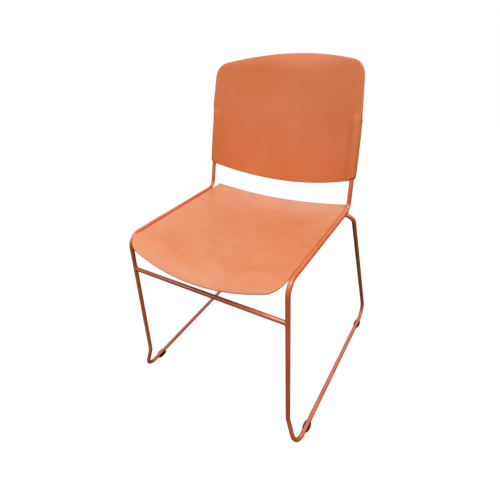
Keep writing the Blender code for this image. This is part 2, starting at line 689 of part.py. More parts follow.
def build_glides(shop):
    """Four glides that clip onto the runners from below."""
    for name, side in SIDES.items():
        corners, _ = side_corners(side)
        kink, front, rear, leg_top = corners[3:7]
        along = (rear - front).normalized()
        from_front = bend_reach(kink, front, rear, BEND_RUNNER) + GLIDE_FRONT_FROM_BEND
        from_rear = bend_reach(front, rear, leg_top, BEND_RUNNER) + GLIDE_REAR_FROM_BEND
        spots = {"front": front + along * from_front, "rear": rear - along * from_rear}
        for end, point in spots.items():
            place = frame_at(point, Vector((0, 0, 1)), forward=along)
            half = (GLIDE_WIDTH / 2, GLIDE_LENGTH / 2)
            body = block_mesh(f"glide_{end}_{name}", (-half[0], -half[1], -RUNNER_Z),
                              (half[0], half[1], GLIDE_WRAP), half[0] - GLIDE_EDGE, 5,
                              rim=GLIDE_EDGE)
            glide = add_object(f"glide_{end}_{name}", body, shop.chair,
                               shop.black_plastic, place)
            channel = cylinder_mesh(f"channel_{end}_{name}",
                                    hole_radius(ROD_RADIUS + CLIP_GAP),
                                    -GLIDE_LENGTH, GLIDE_LENGTH)
            line = frame_at(point, along, forward=Vector((0, 0, 1)))
            combine(glide, shop.cutter(f"channel_{end}_{name}", channel, line),
                    "DIFFERENCE")


def centre_over_origin(shop):
    """Hang everything on an empty, so that the chair stands centred on the origin."""
    bpy.context.view_layer.update()
    depths = [(item.matrix_world @ Vector(corner)).y
              for item in shop.chair.objects for corner in item.bound_box]
    origin = bpy.data.objects.new("chair_origin", None)
    shop.chair.objects.link(origin)
    origin.location.y = -(min(depths) + max(depths)) / 2
    for item in list(shop.chair.objects) + list(shop.cutters.objects):
        if item != origin:
            item.parent = origin


def main():
    """Build the chair."""
    clear_scene()
    shop = Workshop()
    build_frame(shop)
    build_seat(shop)
    build_seat_fastenings(shop)
    build_buffers(shop)
    build_backrest(shop)
    build_glides(shop)
    centre_over_origin(shop)


main()
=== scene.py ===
"""Looks of the stacking chair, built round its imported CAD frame.

Metres, +Z up. The front of the chair faces -Y, and the floor is z = 0. Each sub-assembly
is a class that makes its own meshes and dresses them; each finish is a frozen dataclass.
"""
import logging
import math
from collections.abc import Iterator
from dataclasses import dataclass, field
from enum import Enum
from typing import ClassVar

import bmesh
import bpy
from mathutils import Matrix, Vector


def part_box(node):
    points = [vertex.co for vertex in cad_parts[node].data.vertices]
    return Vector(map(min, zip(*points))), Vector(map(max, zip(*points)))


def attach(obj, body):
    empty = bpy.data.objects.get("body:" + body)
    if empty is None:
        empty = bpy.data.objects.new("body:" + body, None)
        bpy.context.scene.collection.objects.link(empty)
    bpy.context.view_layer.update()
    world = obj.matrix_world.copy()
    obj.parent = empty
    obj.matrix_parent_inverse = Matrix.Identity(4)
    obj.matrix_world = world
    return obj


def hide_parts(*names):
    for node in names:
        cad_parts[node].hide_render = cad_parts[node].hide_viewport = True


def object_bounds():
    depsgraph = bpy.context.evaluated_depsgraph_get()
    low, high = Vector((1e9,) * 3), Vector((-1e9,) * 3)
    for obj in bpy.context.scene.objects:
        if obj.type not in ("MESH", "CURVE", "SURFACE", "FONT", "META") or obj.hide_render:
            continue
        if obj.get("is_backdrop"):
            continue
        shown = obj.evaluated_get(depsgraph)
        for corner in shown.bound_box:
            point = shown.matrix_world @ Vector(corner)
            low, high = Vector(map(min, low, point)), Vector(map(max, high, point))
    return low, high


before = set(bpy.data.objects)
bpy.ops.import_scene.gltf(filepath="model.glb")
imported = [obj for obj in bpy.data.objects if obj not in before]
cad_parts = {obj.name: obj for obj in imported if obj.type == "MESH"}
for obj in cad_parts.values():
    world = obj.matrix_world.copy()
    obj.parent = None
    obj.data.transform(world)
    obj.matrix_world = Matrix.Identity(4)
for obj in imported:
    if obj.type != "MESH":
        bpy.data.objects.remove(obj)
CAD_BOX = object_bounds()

LOG = logging.getLogger("stacking_chair")
BODY = "root"
WORLD_UP = Vector((0.0, 0.0, 1.0))
CARVED_SHARP = math.radians(38)
MESH_GAP = 0.0003
Loop = list[Vector]
Colour = tuple[float, float, float]
WHITE = (1.0, 1.0, 1.0, 1.0)


class Slot(Enum):
    """The record's material slots."""

    FRAME = "frame_paint"
    SEAT = "seat_plastic"
    BACK = "back_plastic"
    GLIDE = "glide_plastic"
    BUFFER = "buffer_rubber"
    SCREW = "screw_steel"


class Side(Enum):
    """The two sides of the chair, by the sign of x."""

    LEFT = -1
    RIGHT = 1

    @property
    def word(self) -> str:
        """The side's name in lower case."""
        return self.name.lower()


class End(Enum):
    """Front or rear of the chair."""

    FRONT = "front"
    REAR = "rear"


# ---------------------------------------------------------------- lines and surfaces

@dataclass(frozen=True)
class ChairLayout:
    """Sizes of the chair's lines and surfaces, with the places that follow from them."""

    front_y: float
    rod_radius: float = 0.00515
    rail_front_half: float = 0.1992
    rail_spread: float = 0.0015
    rail_length: float = 0.3441
    rail_front_height: float = 0.4440
    rail_drop: float = 0.0078
    rail_setback: float = 0.0265
    runner_length: float = 0.5367
    runner_front_splay: float = 0.0365
    runner_rear_splay: float = 0.0427
    runner_height: float = 0.00965
    kink_height: float = 0.0783
    kink_splay: float = 0.0116
    kink_setback: float = 0.0109
    leg_top_splay: float = 0.0164
    upright_length: float = 0.200
    upright_lean: float = math.radians(11.4)
    upright_convergence: float = math.radians(2.2)
    bend_rear_rail: float = 0.0253
    bend_front_rail: float = 0.030
    bend_kink: float = 0.0354
    bend_runner: float = 0.034
    bend_cross: float = 0.0244
    cross_nest: float = math.radians(17.7)
    cross_gap: float = 0.0010
    cross_steps: int = 24
    crossbar_fraction: float = 0.245
    seat_inset: float = 0.006458
    seat_edge_rise: float = 0.0015
    seat_thickness: float = 0.0040
    seat_front_overlap: float = 0.0177
    seat_front_bow: float = 0.0173
    seat_rear_overlap: float = 0.0288
    seat_rear_bow: float = 0.0055
    seat_front_dish: float = 0.0177
    seat_rear_dish: float = 0.0174
    waterfall_length: float = 0.0605
    waterfall_drop: float = 0.0300
    waterfall_side_ease: float = 0.20
    back_bottom: float = 0.0722
    back_top: float = 0.3242
    back_bottom_bow: float = 0.0323
    back_top_bow: float = 0.0265
    back_overhang: float = 0.0067
    back_widest_at: float = 0.0228
    back_side_curve: float = 0.210
    back_dish: float = 0.0412
    back_dish_power: float = 1.2
    back_edge_setback: float = -0.0075
    back_flare_length: float = 0.035
    back_flare: float = 0.0035

    @classmethod
    def from_frame(cls) -> "ChairLayout":
        """Set the layout where the CAD frame stands.

        Returns:
            The layout, with its front edge taken from the CAD crossbar.
        """
        low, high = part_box("front_crossbar")
        plain = cls(front_y=0.0)
        across = plain.kink_setback - plain.rail_setback
        reach = plain.rail_setback + across * plain.crossbar_fraction
        return cls(front_y=(low.y + high.y) / 2 - reach)

    @property
    def rail_front_y(self) -> float:
        """Front corner of the seat rails."""
        return self.front_y + self.rail_setback

    @property
    def rail_rear_y(self) -> float:
        """Rear corner of the seat rails."""
        return self.rail_front_y + self.rail_length

    @property
    def rail_front_z(self) -> float:
        """Height of the seat rails at their front corner."""
        return self.runner_height + self.rail_front_height

    @property
    def seat_front_y(self) -> float:
        """Front corners of the seat."""
        return self.rail_front_y - self.seat_front_overlap

    @property
    def seat_rear_y(self) -> float:
        """Rear corners of the seat."""
        return self.rail_rear_y + self.seat_rear_overlap

    @property
    def back_up(self) -> Vector:
        """Direction up the backrest."""
        return Vector((0.0, math.sin(self.upright_lean), math.cos(self.upright_lean)))

    @property
    def back_rearward(self) -> Vector:
        """Direction out of the backrest's rear face."""
        return Vector((0.0, math.cos(self.upright_lean), -math.sin(self.upright_lean)))

    def rail_half(self, y: float) -> float:
        """Distance from the chair's middle to the rail's centre at y."""
        return self.rail_front_half + self.rail_spread * (y - self.rail_front_y) / self.rail_length

    def rail_height(self, y: float) -> float:
        """Height of the rail's centre at y."""
        return self.rail_front_z - self.rail_drop * (y - self.rail_front_y) / self.rail_length

    def seat_half(self, y: float) -> float:
        """Half width of the seat at y."""
        return self.rail_half(y) - self.seat_inset

    def seat_height(self, x: float, y: float) -> float:
        """Height of the seat's top face.

        Args:
            x: Place across the seat.
            y: Place along the seat.

        Returns:
            The height, dished across and falling away at the front.
        """
        along = (y - self.seat_front_y) / (self.seat_rear_y - self.seat_front_y)
        dish = self.seat_front_dish + (self.seat_rear_dish - self.seat_front_dish) * along
        start = self.seat_front_y - self.seat_front_bow + self.waterfall_length
        fall = max(0.0, (start - y) / self.waterfall_length)
        share = x / self.seat_half(y)
        drop = self.waterfall_drop * (1 - self.waterfall_side_ease * share ** 4)
        edge = self.rail_height(y) + self.seat_edge_rise
        return edge - dish * (1 - share ** 2) - drop * fall ** 2

    def seat_placement(self, x: float, y: float) -> Matrix:
        """Placement on the seat's underside, with Z out of the top face.

        Args:
            x: Place across the seat.
            y: Place along the seat.

        Returns:
            A matrix whose origin lies on the underside.
        """
        step = 0.001
        slope_x = (self.seat_height(x + step, y) - self.seat_height(x - step, y)) / (2 * step)
        slope_y = (self.seat_height(x, y + step) - self.seat_height(x, y - step)) / (2 * step)
        normal = Vector((-slope_x, -slope_y, 1.0)).normalized()
        top = Vector((x, y, self.seat_height(x, y)))
        return placement(top - normal * self.seat_thickness, normal)

    def upright_foot(self, side: Side) -> Vector:
        """Rear corner of a rail, where the upright's line starts."""
        rear_half = self.rail_front_half + self.rail_spread
        return Vector((side.value * rear_half, self.rail_rear_y,
                       self.rail_front_z - self.rail_drop))

    def upright_direction(self, side: Side) -> Vector:
        """Direction up an upright."""
        return Vector((-side.value * math.tan(self.upright_convergence),
                       math.tan(self.upright_lean), 1.0)).normalized()

    def upright_point(self, side: Side, height: float) -> Vector:
        """Point on an upright's axis, this far up the backrest from the rail."""
        direction = self.upright_direction(side)
        return self.upright_foot(side) + direction * (height / direction.dot(self.back_up))

    def rear_cross_place(self) -> tuple[float, float]:
        """Where the rear cross passes under the rails.

        Returns:
            The y and z of the cross's centre beside the rail.
        """
        rail = Vector((self.rail_length, -self.rail_drop)).normalized()
        direction = self.upright_direction(Side.RIGHT)
        upright = Vector((direction.y, direction.z)).normalized()
        lead = self.bend_rear_rail * math.tan(rail.angle(upright) / 2)
        corner = Vector((self.rail_rear_y, self.rail_front_z - self.rail_drop))
        centre = corner - rail * lead + Vector((-rail.y, rail.x)) * self.bend_rear_rail
        reach = self.bend_rear_rail + 2 * self.rod_radius + MESH_GAP
        return (centre.x + reach * math.sin(self.cross_nest),
                centre.y - reach * math.cos(self.cross_nest))

    def cross_height(self, x: float) -> float:
        """Height of the rear cross at x, just below the dished seat."""
        cross_y, _ = self.rear_cross_place()
        below = self.seat_thickness + self.cross_gap + self.rod_radius
        return self.seat_height(x, cross_y) - below

    def side_corners(self, side: Side) -> tuple[Loop, list[float]]:
        """Corners of one side rod, from the upright's tip onward.

        Args:
            side: Which rod.

        Returns:
            The corners, and the bend radius at each inner corner.
        """
        rear_half = self.rail_front_half + self.rail_spread
        front_half = self.rail_front_half
        z = self.runner_height
        cross_y, cross_z = self.rear_cross_place()
        leg_top = rear_half + self.leg_top_splay
        right = [
            self.upright_foot(Side.RIGHT)
            + self.upright_direction(Side.RIGHT) * self.upright_length,
            self.upright_foot(Side.RIGHT),
            Vector((front_half, self.rail_front_y, self.rail_front_z)),
            Vector((front_half + self.kink_splay, self.front_y + self.kink_setback,
                    z + self.kink_height)),
            Vector((front_half + self.runner_front_splay, self.front_y, z)),
            Vector((front_half + self.runner_rear_splay,
                    self.front_y + self.runner_length, z)),
            Vector((leg_top, cross_y, cross_z)),
        ]
        radii = [self.bend_rear_rail, self.bend_front_rail, self.bend_kink,
                 self.bend_runner, self.bend_runner, self.bend_cross]
        start = leg_top - 1.5 * self.bend_cross
        steps = self.cross_steps
        for i in range(steps + 1):
            x = start * (1 - i / steps)
            right.append(Vector((x, cross_y, self.cross_height(x))))
        radii += [0.0] * steps
        return [Vector((side.value * p.x, p.y, p.z)) for p in right], radii

    @property
    def back_half(self) -> float:
        """Half width of the backrest at its widest."""
        return self.rail_front_half + self.rail_spread + self.back_overhang

    def back_half_at(self, height: float) -> float:
        """Half width of the backrest, this far up from the rail."""
        return self.back_half - self.back_side_curve * (height - self.back_widest_at) ** 2

    def back_point(self, x: float, height: float) -> Vector:
        """Point on the backrest's front face.

        Args:
            x: Place across the backrest.
            height: Distance up the backrest from the rail.

        Returns:
            The point, dished across and curled back along the top.
        """
        share = min(1.0, abs(x) / self.back_half_at(height))
        start = self.back_top + self.back_top_bow - self.back_flare_length
        curl = max(0.0, (height - start) / self.back_flare_length)
        depth = (self.back_edge_setback
                 + self.back_dish * (1 - share ** 2) ** self.back_dish_power
                 + self.back_flare * curl ** 2)
        base = Vector((x, self.rail_rear_y, self.rail_front_z - self.rail_drop))
        return base + self.back_up * height + self.back_rearward * depth


@dataclass(frozen=True)
class BowedEdge:
    """A bowed edge between two rounded corners."""

    half_width: float
    bow: float
    corner: float

    def reach(self, x: float) -> float:
        """How far the edge stands out at x, from its corners' line.

        Args:
            x: Place across the edge.

        Returns:
            The distance, positive outward.
        """
        x = abs(x)
        centre_x = self.half_width - self.corner
        join = centre_x
        slope = 0.0
        for _ in range(8):
            slope = 2 * self.bow * join / self.half_width ** 2
            join = centre_x + self.corner * math.sin(math.atan(slope))
        if x <= join:
            return self.bow * (1 - (x / self.half_width) ** 2)
        centre_y = (self.bow * (1 - (join / self.half_width) ** 2)
                    - self.corner * math.cos(math.atan(slope)))
        across = min(x - centre_x, self.corner)
        return centre_y + math.sqrt(self.corner ** 2 - across ** 2)


# ---------------------------------------------------------------- mesh making

def circle(count: int) -> list[tuple[float, float]]:
    """Cosine and sine at even steps round a circle."""
    turns = [2 * math.pi * k / count for k in range(count)]
    return [(math.cos(turn), math.sin(turn)) for turn in turns]


def smoothstep(share: float) -> float:
    """Ease a share from 0 to 1, flat at both ends."""
    return share * share * (3 - 2 * share)


def both_sides(start: float, corner: float, columns: int, corner_columns: int) -> list[float]:
    """Places across a panel, even in the middle and by angle round its corners.

    Args:
        start: Where the right corner starts.
        corner: How far the corner reaches beyond it.
        columns: Steps from the middle to the corner.
        corner_columns: Steps round the corner.

    Returns:
        The places from left to right.
    """
    right = [start * i / columns for i in range(columns + 1)]
    right += [start + corner * math.sin(math.pi / 2 * i / corner_columns)
              for i in range(1, corner_columns + 1)]
    return [-x for x in reversed(right[1:])] + right


def placement(origin: Vector, up: Vector, forward: Vector = Vector((0.0, 1.0, 0.0))) -> Matrix:
    """A placement whose Z runs along up and whose Y leans towards forward.

    Args:
        origin: Where it stands.
        up: Direction of its Z.
        forward: Direction that its Y leans to.

    Returns:
        The 4 by 4 matrix.
    """
    z_axis = up.normalized()
    x_axis = forward.cross(z_axis).normalized()
    rotation = Matrix((x_axis, z_axis.cross(x_axis), z_axis)).transposed()
    return Matrix.Translation(origin) @ rotation.to_4x4()


def rounded_path(corners: Loop, radii: list[float], step: float) -> Loop:
    """Straight runs whose corners are bent to the given radii.

    Args:
        corners: The corners in order.
        radii: Bend radius at each inner corner; zero keeps the corner.
        step: Largest angle between points in a bend.

    Returns:
        The points of the path.
    """
    points = [corners[0]]
    for before, corner, after, radius in zip(corners, corners[1:], corners[2:], radii):
        if radius == 0.0:
            points.append(corner)
            continue
        arriving = (corner - before).normalized()
        leaving = (after - corner).normalized()
        turn = arriving.angle(leaving)
        start = corner - arriving * radius * math.tan(turn / 2)
        inward = (leaving - arriving * arriving.dot(leaving)).normalized()
        steps = max(3, math.ceil(turn / step))
        points += [start + arriving * radius * math.sin(turn * i / steps)
                   + inward * radius * (1 - math.cos(turn * i / steps))
                   for i in range(steps + 1)]
    points.append(corners[-1])
    return points


@dataclass
class Skin:
    """Collects rings and grids of points into one closed mesh."""

    FAN_STEP: ClassVar[float] = math.radians(12)

    points: Loop = field(default_factory=list)
    faces: list[tuple[int, ...]] = field(default_factory=list)

    def add(self, points: Loop) -> list[int]:
        """Add points and give back their numbers."""
        first = len(self.points)
        self.points += points
        return list(range(first, len(self.points)))

    def bridge(self, one: list[int], other: list[int], closed: bool = True) -> None:
        """Join two rows of points, of one length, with quads.

        Args:
            one: The first row.
            other: The second row.
            closed: Whether the rows are rings.
        """
        count = len(one) if closed else len(one) - 1
        for i in range(count):
            j = (i + 1) % len(one)
            corners = (one[i], one[j], other[j], other[i])
            self.faces.append(tuple(dict.fromkeys(corners)))

    def tube(self, path: Loop, radii: list[float], sides: int, closed: bool = False,
             centre: Vector | None = None) -> None:
        """Sweep a round section along a path.

        Args:
            path: The centre line.
            radii: Radius at each point of the path.
            sides: Points round the section.
            closed: Whether the path runs back into its start.
            centre: Where given, sections turn with the direction out from this point.
        """
        rings = []
        across = None
        for i, point in enumerate(path):
            before = path[i - 1] if closed or i else point
            after = path[(i + 1) % len(path)] if closed or i + 1 < len(path) else point
            tangent = (after - before).normalized()
            if centre is not None:
                across = point - centre
            elif across is None:
                across = tangent.orthogonal()
            across = (across - tangent * across.dot(tangent)).normalized()
            other = tangent.cross(across)
            rings.append([point + (across * c + other * s) * radii[i]
                          for c, s in circle(sides)])
        self.stack(rings, closed)

    def stack(self, rings: list[Loop], closed: bool = False) -> None:
        """Join rings in order, and cap both ends or run the last into the first."""
        numbered = [self.add(ring) for ring in rings]
        for one, two in zip(numbered, numbered[1:]):
            self.bridge(one, two)
        if closed:
            self.bridge(numbered[-1], numbered[0])
        else:
            self.faces += [tuple(reversed(numbered[0])), tuple(numbered[-1])]

    def shell(self, front: list[Loop], depths: list[list[float]], rims: list[list[float]],
              rim_steps: int) -> None:
        """Thicken a sheet and round its rim.

        Args:
            front: Rows of points on the front face, seen with its normal towards the eye.
            depths: Thickness behind each point.
            rims: How far the rounded rim stands out at each border point.
            rim_steps: Facets round the rim.
        """
        rows, columns = len(front), len(front[0])
        normals = [[self._normal(front, r, c) for c in range(columns)] for r in range(rows)]
        face = [self.add(row) for row in front]
        rear = [self.add([p - n * d for p, n, d in zip(*line)])
                for line in zip(front, normals, depths)]
        for one, two in zip(face, face[1:]):
            self.bridge(one, two, closed=False)
        for one, two in zip(rear, rear[1:]):
            self.bridge(two, one, closed=False)
        border = [(0, c) for c in range(columns)]
        border += [(r, columns - 1) for r in range(1, rows)]
        border += [(rows - 1, c) for c in range(columns - 2, -1, -1)]
        border += [(r, 0) for r in range(rows - 2, 0, -1)]
        ribs = []
        for i, (r, c) in enumerate(border):
            before, after = border[i - 1], border[(i + 1) % len(border)]
            point, normal = front[r][c], normals[r][c]
            arriving = (point - front[before[0]][before[1]]).cross(normal).normalized()
            leaving = (front[after[0]][after[1]] - point).cross(normal).normalized()
            fan = max(1, math.ceil(arriving.angle(leaving) / self.FAN_STEP))
            for spoke in range(fan):
                out = arriving.lerp(leaving, (spoke + 0.5) / fan).normalized()
                middle = []
                for k in range(1, rim_steps):
                    angle = math.pi / 2 - math.pi * k / rim_steps
                    middle.append(point + out * rims[r][c] * math.cos(angle)
                                  + normal * depths[r][c] / 2 * (math.sin(angle) - 1))
                ribs.append([face[r][c], *self.add(middle), rear[r][c]])
        for one, two in zip(ribs, ribs[1:] + ribs[:1]):
            self.bridge(two, one, closed=False)

    @staticmethod
    def _normal(grid: list[Loop], r: int, c: int) -> Vector:
        """Normal of a grid of points at one of them."""
        row, column = grid[r], [line[c] for line in grid]
        across = row[min(c + 1, len(row) - 1)] - row[max(c - 1, 0)]
        along = column[min(r + 1, len(column) - 1)] - column[max(r - 1, 0)]
        return across.cross(along).normalized()

    def mesh(self, name: str, sharp: float = math.radians(50)) -> bpy.types.Mesh:
        """Make the mesh.

        Args:
            name: Its name.
            sharp: Angle above which an edge stays sharp.

        Returns:
            The mesh, smooth-shaded with outward normals.
        """
        made = bpy.data.meshes.new(name)
        made.from_pydata([tuple(p) for p in self.points], [], self.faces)
        shape = bmesh.new()
        shape.from_mesh(made)
        bmesh.ops.remove_doubles(shape, verts=shape.verts, dist=1e-6)
        bmesh.ops.recalc_face_normals(shape, faces=shape.faces)
        shape.to_mesh(made)
        shape.free()
        made.shade_smooth()
        made.set_sharp_from_angle(angle=sharp)
        return made


def turned(profile: list[tuple[float, float]], place: Matrix, sides: int = 40) -> Skin:
    """A solid of revolution about a placement's Z.

    Args:
        profile: Pairs of radius and height, from the bottom up; both ends are capped.
        place: Where it stands.
        sides: Facets round it.

    Returns:
        The skin.
    """
    skin = Skin()
    skin.stack([[place @ Vector((radius * c, radius * s, height)) for c, s in circle(sides)]
                for radius, height in profile])
    return skin


def carve(target: bpy.types.Mesh, tools: list[bpy.types.Mesh],
          operation: str) -> bpy.types.Mesh:
    """Apply Booleans to a mesh.

    Args:
        target: The mesh that is cut or added to.
        tools: The meshes that cut or add.
        operation: DIFFERENCE or UNION.

    Returns:
        The finished mesh, under the target's name.
    """
    scene = bpy.context.scene.collection
    body = bpy.data.objects.new("carve_body", target)
    scene.objects.link(body)
    helpers = []
    for tool in tools:
        helper = bpy.data.objects.new("carve_tool", tool)
        scene.objects.link(helper)
        modifier = body.modifiers.new("cut", "BOOLEAN")
        modifier.object = helper
        modifier.operation = operation
        modifier.solver = "EXACT"
        modifier.use_self = True
        helpers.append(helper)
    bpy.context.view_layer.update()
    depsgraph = bpy.context.evaluated_depsgraph_get()
    name = target.name
    made = bpy.data.meshes.new_from_object(body.evaluated_get(depsgraph))
    for item in [body, *helpers]:
        spare = item.data
        bpy.data.objects.remove(item)
        bpy.data.meshes.remove(spare)
    made.name = name
    made.shade_smooth()
    made.set_sharp_from_angle(angle=CARVED_SHARP)
    return made


def add_piece(mesh: bpy.types.Mesh, material: bpy.types.Material, slot: Slot,
              *replaced: str) -> bpy.types.Object:
    """Put a piece on the chair.

    Args:
        mesh: Its mesh, whose name the piece takes.
        material: Its finish.
        slot: The record's slot that the finish belongs to; not used.
        replaced: CAD nodes that the piece stands for.

    Returns:
        The piece, riding on the frame's body.
    """
    piece = bpy.data.objects.new(mesh.name, mesh)
    mesh.materials.clear()
    mesh.materials.append(material)
    bpy.context.scene.collection.objects.link(piece)
    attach(piece, BODY)
    if replaced:
        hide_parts(*replaced)
    LOG.info("%s: %d faces", piece.name, len(mesh.polygons))
    return piece


# ---------------------------------------------------------------- shared shader effects

class NodeWriter:
    """Short ways to fill a node tree."""

    def __init__(self, tree: bpy.types.NodeTree) -> None:
        """Take the tree to fill."""
        self.tree = tree

    def feed(self, socket: bpy.types.NodeSocket, source: object) -> None:
        """Link a socket to a source, or set it to a plain value."""
        if isinstance(source, bpy.types.NodeSocket):
            self.tree.links.new(source, socket)
        else:
            socket.default_value = source

    def node(self, kind: str, inputs: dict[str | int, object] | None = None,
             **settings: object) -> bpy.types.Node:
        """Add a node.

        Args:
            kind: Its type.
            inputs: Sources or plain values of its inputs, by name or number.
            settings: Its properties.

        Returns:
            The node.
        """
        made = self.tree.nodes.new(kind)
        for name, value in settings.items():
            setattr(made, name, value)
        for key, source in (inputs or {}).items():
            self.feed(made.inputs[key], source)
        return made

    def span(self, value: object, given: tuple[float, float],
             wanted: tuple[float, float] = (0.0, 1.0), **settings: object) -> bpy.types.NodeSocket:
        """Map a value from one range to another.

        Args:
            value: The value, a socket or a number.
            given: The range that it comes from.
            wanted: The range that it goes to.
            settings: Properties of the Map Range node.

        Returns:
            The result's socket.
        """
        return self.node("ShaderNodeMapRange", {
            "Value": value, "From Min": given[0], "From Max": given[1],
            "To Min": wanted[0], "To Max": wanted[1]}, **settings).outputs["Result"]

    def seen_by_eye(self, seen: bpy.types.Node, felt: bpy.types.Node, output: str) -> None:
        """Show one shader to the camera and another to every other ray.

        Args:
            seen: The node that the camera sees.
            felt: The node that lights the chair.
            output: Type of the tree's output node.
        """
        path = self.node("ShaderNodeLightPath")
        mix = self.node("ShaderNodeMixShader", {
            0: path.outputs["Is Camera Ray"], 1: felt.outputs[0], 2: seen.outputs[0]})
        self.node(output, {"Surface": mix.outputs[0]})


class EffectGroup(NodeWriter):
    """A shader node group whose sockets are floats, but for one named Color."""

    def __init__(self, name: str, outputs: tuple[str, ...], **inputs: object) -> None:
        """Make the group and its sockets.

        Args:
            name: The group's name.
            outputs: Names of its outputs.
            inputs: Default of each input.
        """
        super().__init__(bpy.data.node_groups.new(name, "ShaderNodeTree"))
        for socket, value in inputs.items():
            self._socket(socket, "INPUT").default_value = value
        for socket in outputs:
            self._socket(socket, "OUTPUT")
        self.start = self.node("NodeGroupInput").outputs
        self.end = self.node("NodeGroupOutput").inputs
        self.coordinates = self.node("ShaderNodeTexCoord").outputs["Object"]

    def _socket(self, name: str, way: str) -> bpy.types.NodeTreeInterfaceSocket:
        """Add a socket to the group's interface."""
        kind = "NodeSocketColor" if name == "Color" else "NodeSocketFloat"
        return self.tree.interface.new_socket(name, in_out=way, socket_type=kind)

    def maths(self, operation: str, *terms: object) -> bpy.types.NodeSocket:
        """Add a Math node on sockets or numbers, and give back its output."""
        return self.node("ShaderNodeMath", dict(enumerate(terms)),
                         operation=operation).outputs[0]

    def noise(self, scale: object, detail: float, roughness: float = 0.5) -> bpy.types.NodeSocket:
        """Add a noise texture in the chair's own space, and give back its value."""
        return self.node("ShaderNodeTexNoise", {
            "Vector": self.coordinates, "Scale": scale, "Detail": detail,
            "Roughness": roughness}).outputs["Fac"]


class Effects:
    """The shader node groups that the finishes share, each built once."""

    def __init__(self) -> None:
        """Build every group."""
        self.tone = self._tone()
        self.grain = self._grain()
        self.wear = self._wear()
        self.dust_and_sheen = self._dust_and_sheen()

    @staticmethod
    def _tone() -> bpy.types.NodeTree:
        """Broad, faint colour variation over a surface.

        Returns:
            The group; its Color is the base colour lightened and darkened in soft clouds.
        """
        group = EffectGroup("soft_tone", ("Color",), Color=(0.8, 0.8, 0.8, 1.0), Scale=9.0,
                            Amount=0.05)
        clouds = group.span(group.noise(group.start["Scale"], 4.0), (0.3, 0.7))
        centred = group.maths("SUBTRACT", clouds, 0.5)
        change = group.maths("MULTIPLY", centred, group.start["Amount"])
        shift = group.node("ShaderNodeHueSaturation", {
            "Color": group.start["Color"], "Value": group.maths("ADD", change, 1.0),
            "Saturation": group.maths("MULTIPLY_ADD", change, -0.8, 1.0)})
        group.feed(group.end["Color"], shift.outputs["Color"])
        return group.tree

    @staticmethod
    def _grain() -> bpy.types.NodeTree:
        """Fine surface relief.

        Returns:
            The group; Height is fine grain over a longer ripple, Value the grain alone.
        """
        group = EffectGroup("fine_grain", ("Height", "Value"), Scale=1500.0, Ripple=0.3)
        fine = group.noise(group.start["Scale"], 2.0, 0.6)
        long_wave = group.noise(group.maths("MULTIPLY", group.start["Scale"], 0.12), 1.0)
        group.feed(group.end["Height"],
                   group.maths("MULTIPLY_ADD", long_wave, group.start["Ripple"], fine))
        group.feed(group.end["Value"], fine)
        return group.tree

    @staticmethod
    def _wear() -> bpy.types.NodeTree:
        """Rubbed edges.

        Returns:
            The group; Mask is one where an outer edge has been rubbed.
        """
        group = EffectGroup("rubbed_edges", ("Mask",), Radius=0.0012, Amount=0.5)
        bevel = group.node("ShaderNodeBevel", {"Radius": group.start["Radius"]}, samples=4)
        plain = group.node("ShaderNodeNewGeometry")
        dot = group.node("ShaderNodeVectorMath", {
            0: bevel.outputs["Normal"], 1: plain.outputs["Normal"]}, operation="DOT_PRODUCT")
        edge = group.span(dot.outputs["Value"], (0.995, 0.90))
        patches = group.span(group.noise(160.0, 5.0, 0.65), (0.48, 0.62))
        broken = group.maths("MULTIPLY", edge, patches)
        group.feed(group.end["Mask"], group.maths("MULTIPLY", broken, group.start["Amount"]))
        return group.tree

    @staticmethod
    def _dust_and_sheen() -> bpy.types.NodeTree:
        """Dust in patches on faces that look up, which also paints a pale sheen of top light on
        them.

        Returns:
            The group; Mask is the cover of dust and painted sheen.
        """
        group = EffectGroup("upward_dust_and_sheen", ("Mask",), Amount=0.08)
        plain = group.node("ShaderNodeNewGeometry")
        split = group.node("ShaderNodeSeparateXYZ", {0: plain.outputs["Normal"]})
        upward = group.span(split.outputs["Z"], (0.2, 1.0))
        patches = group.span(group.noise(34.0, 6.0, 0.6), (0.35, 0.75))
        cover = group.maths("MULTIPLY", upward, patches)
        group.feed(group.end["Mask"], group.maths("MULTIPLY", cover, group.start["Amount"]))
        return group.tree


# ---------------------------------------------------------------- finishes

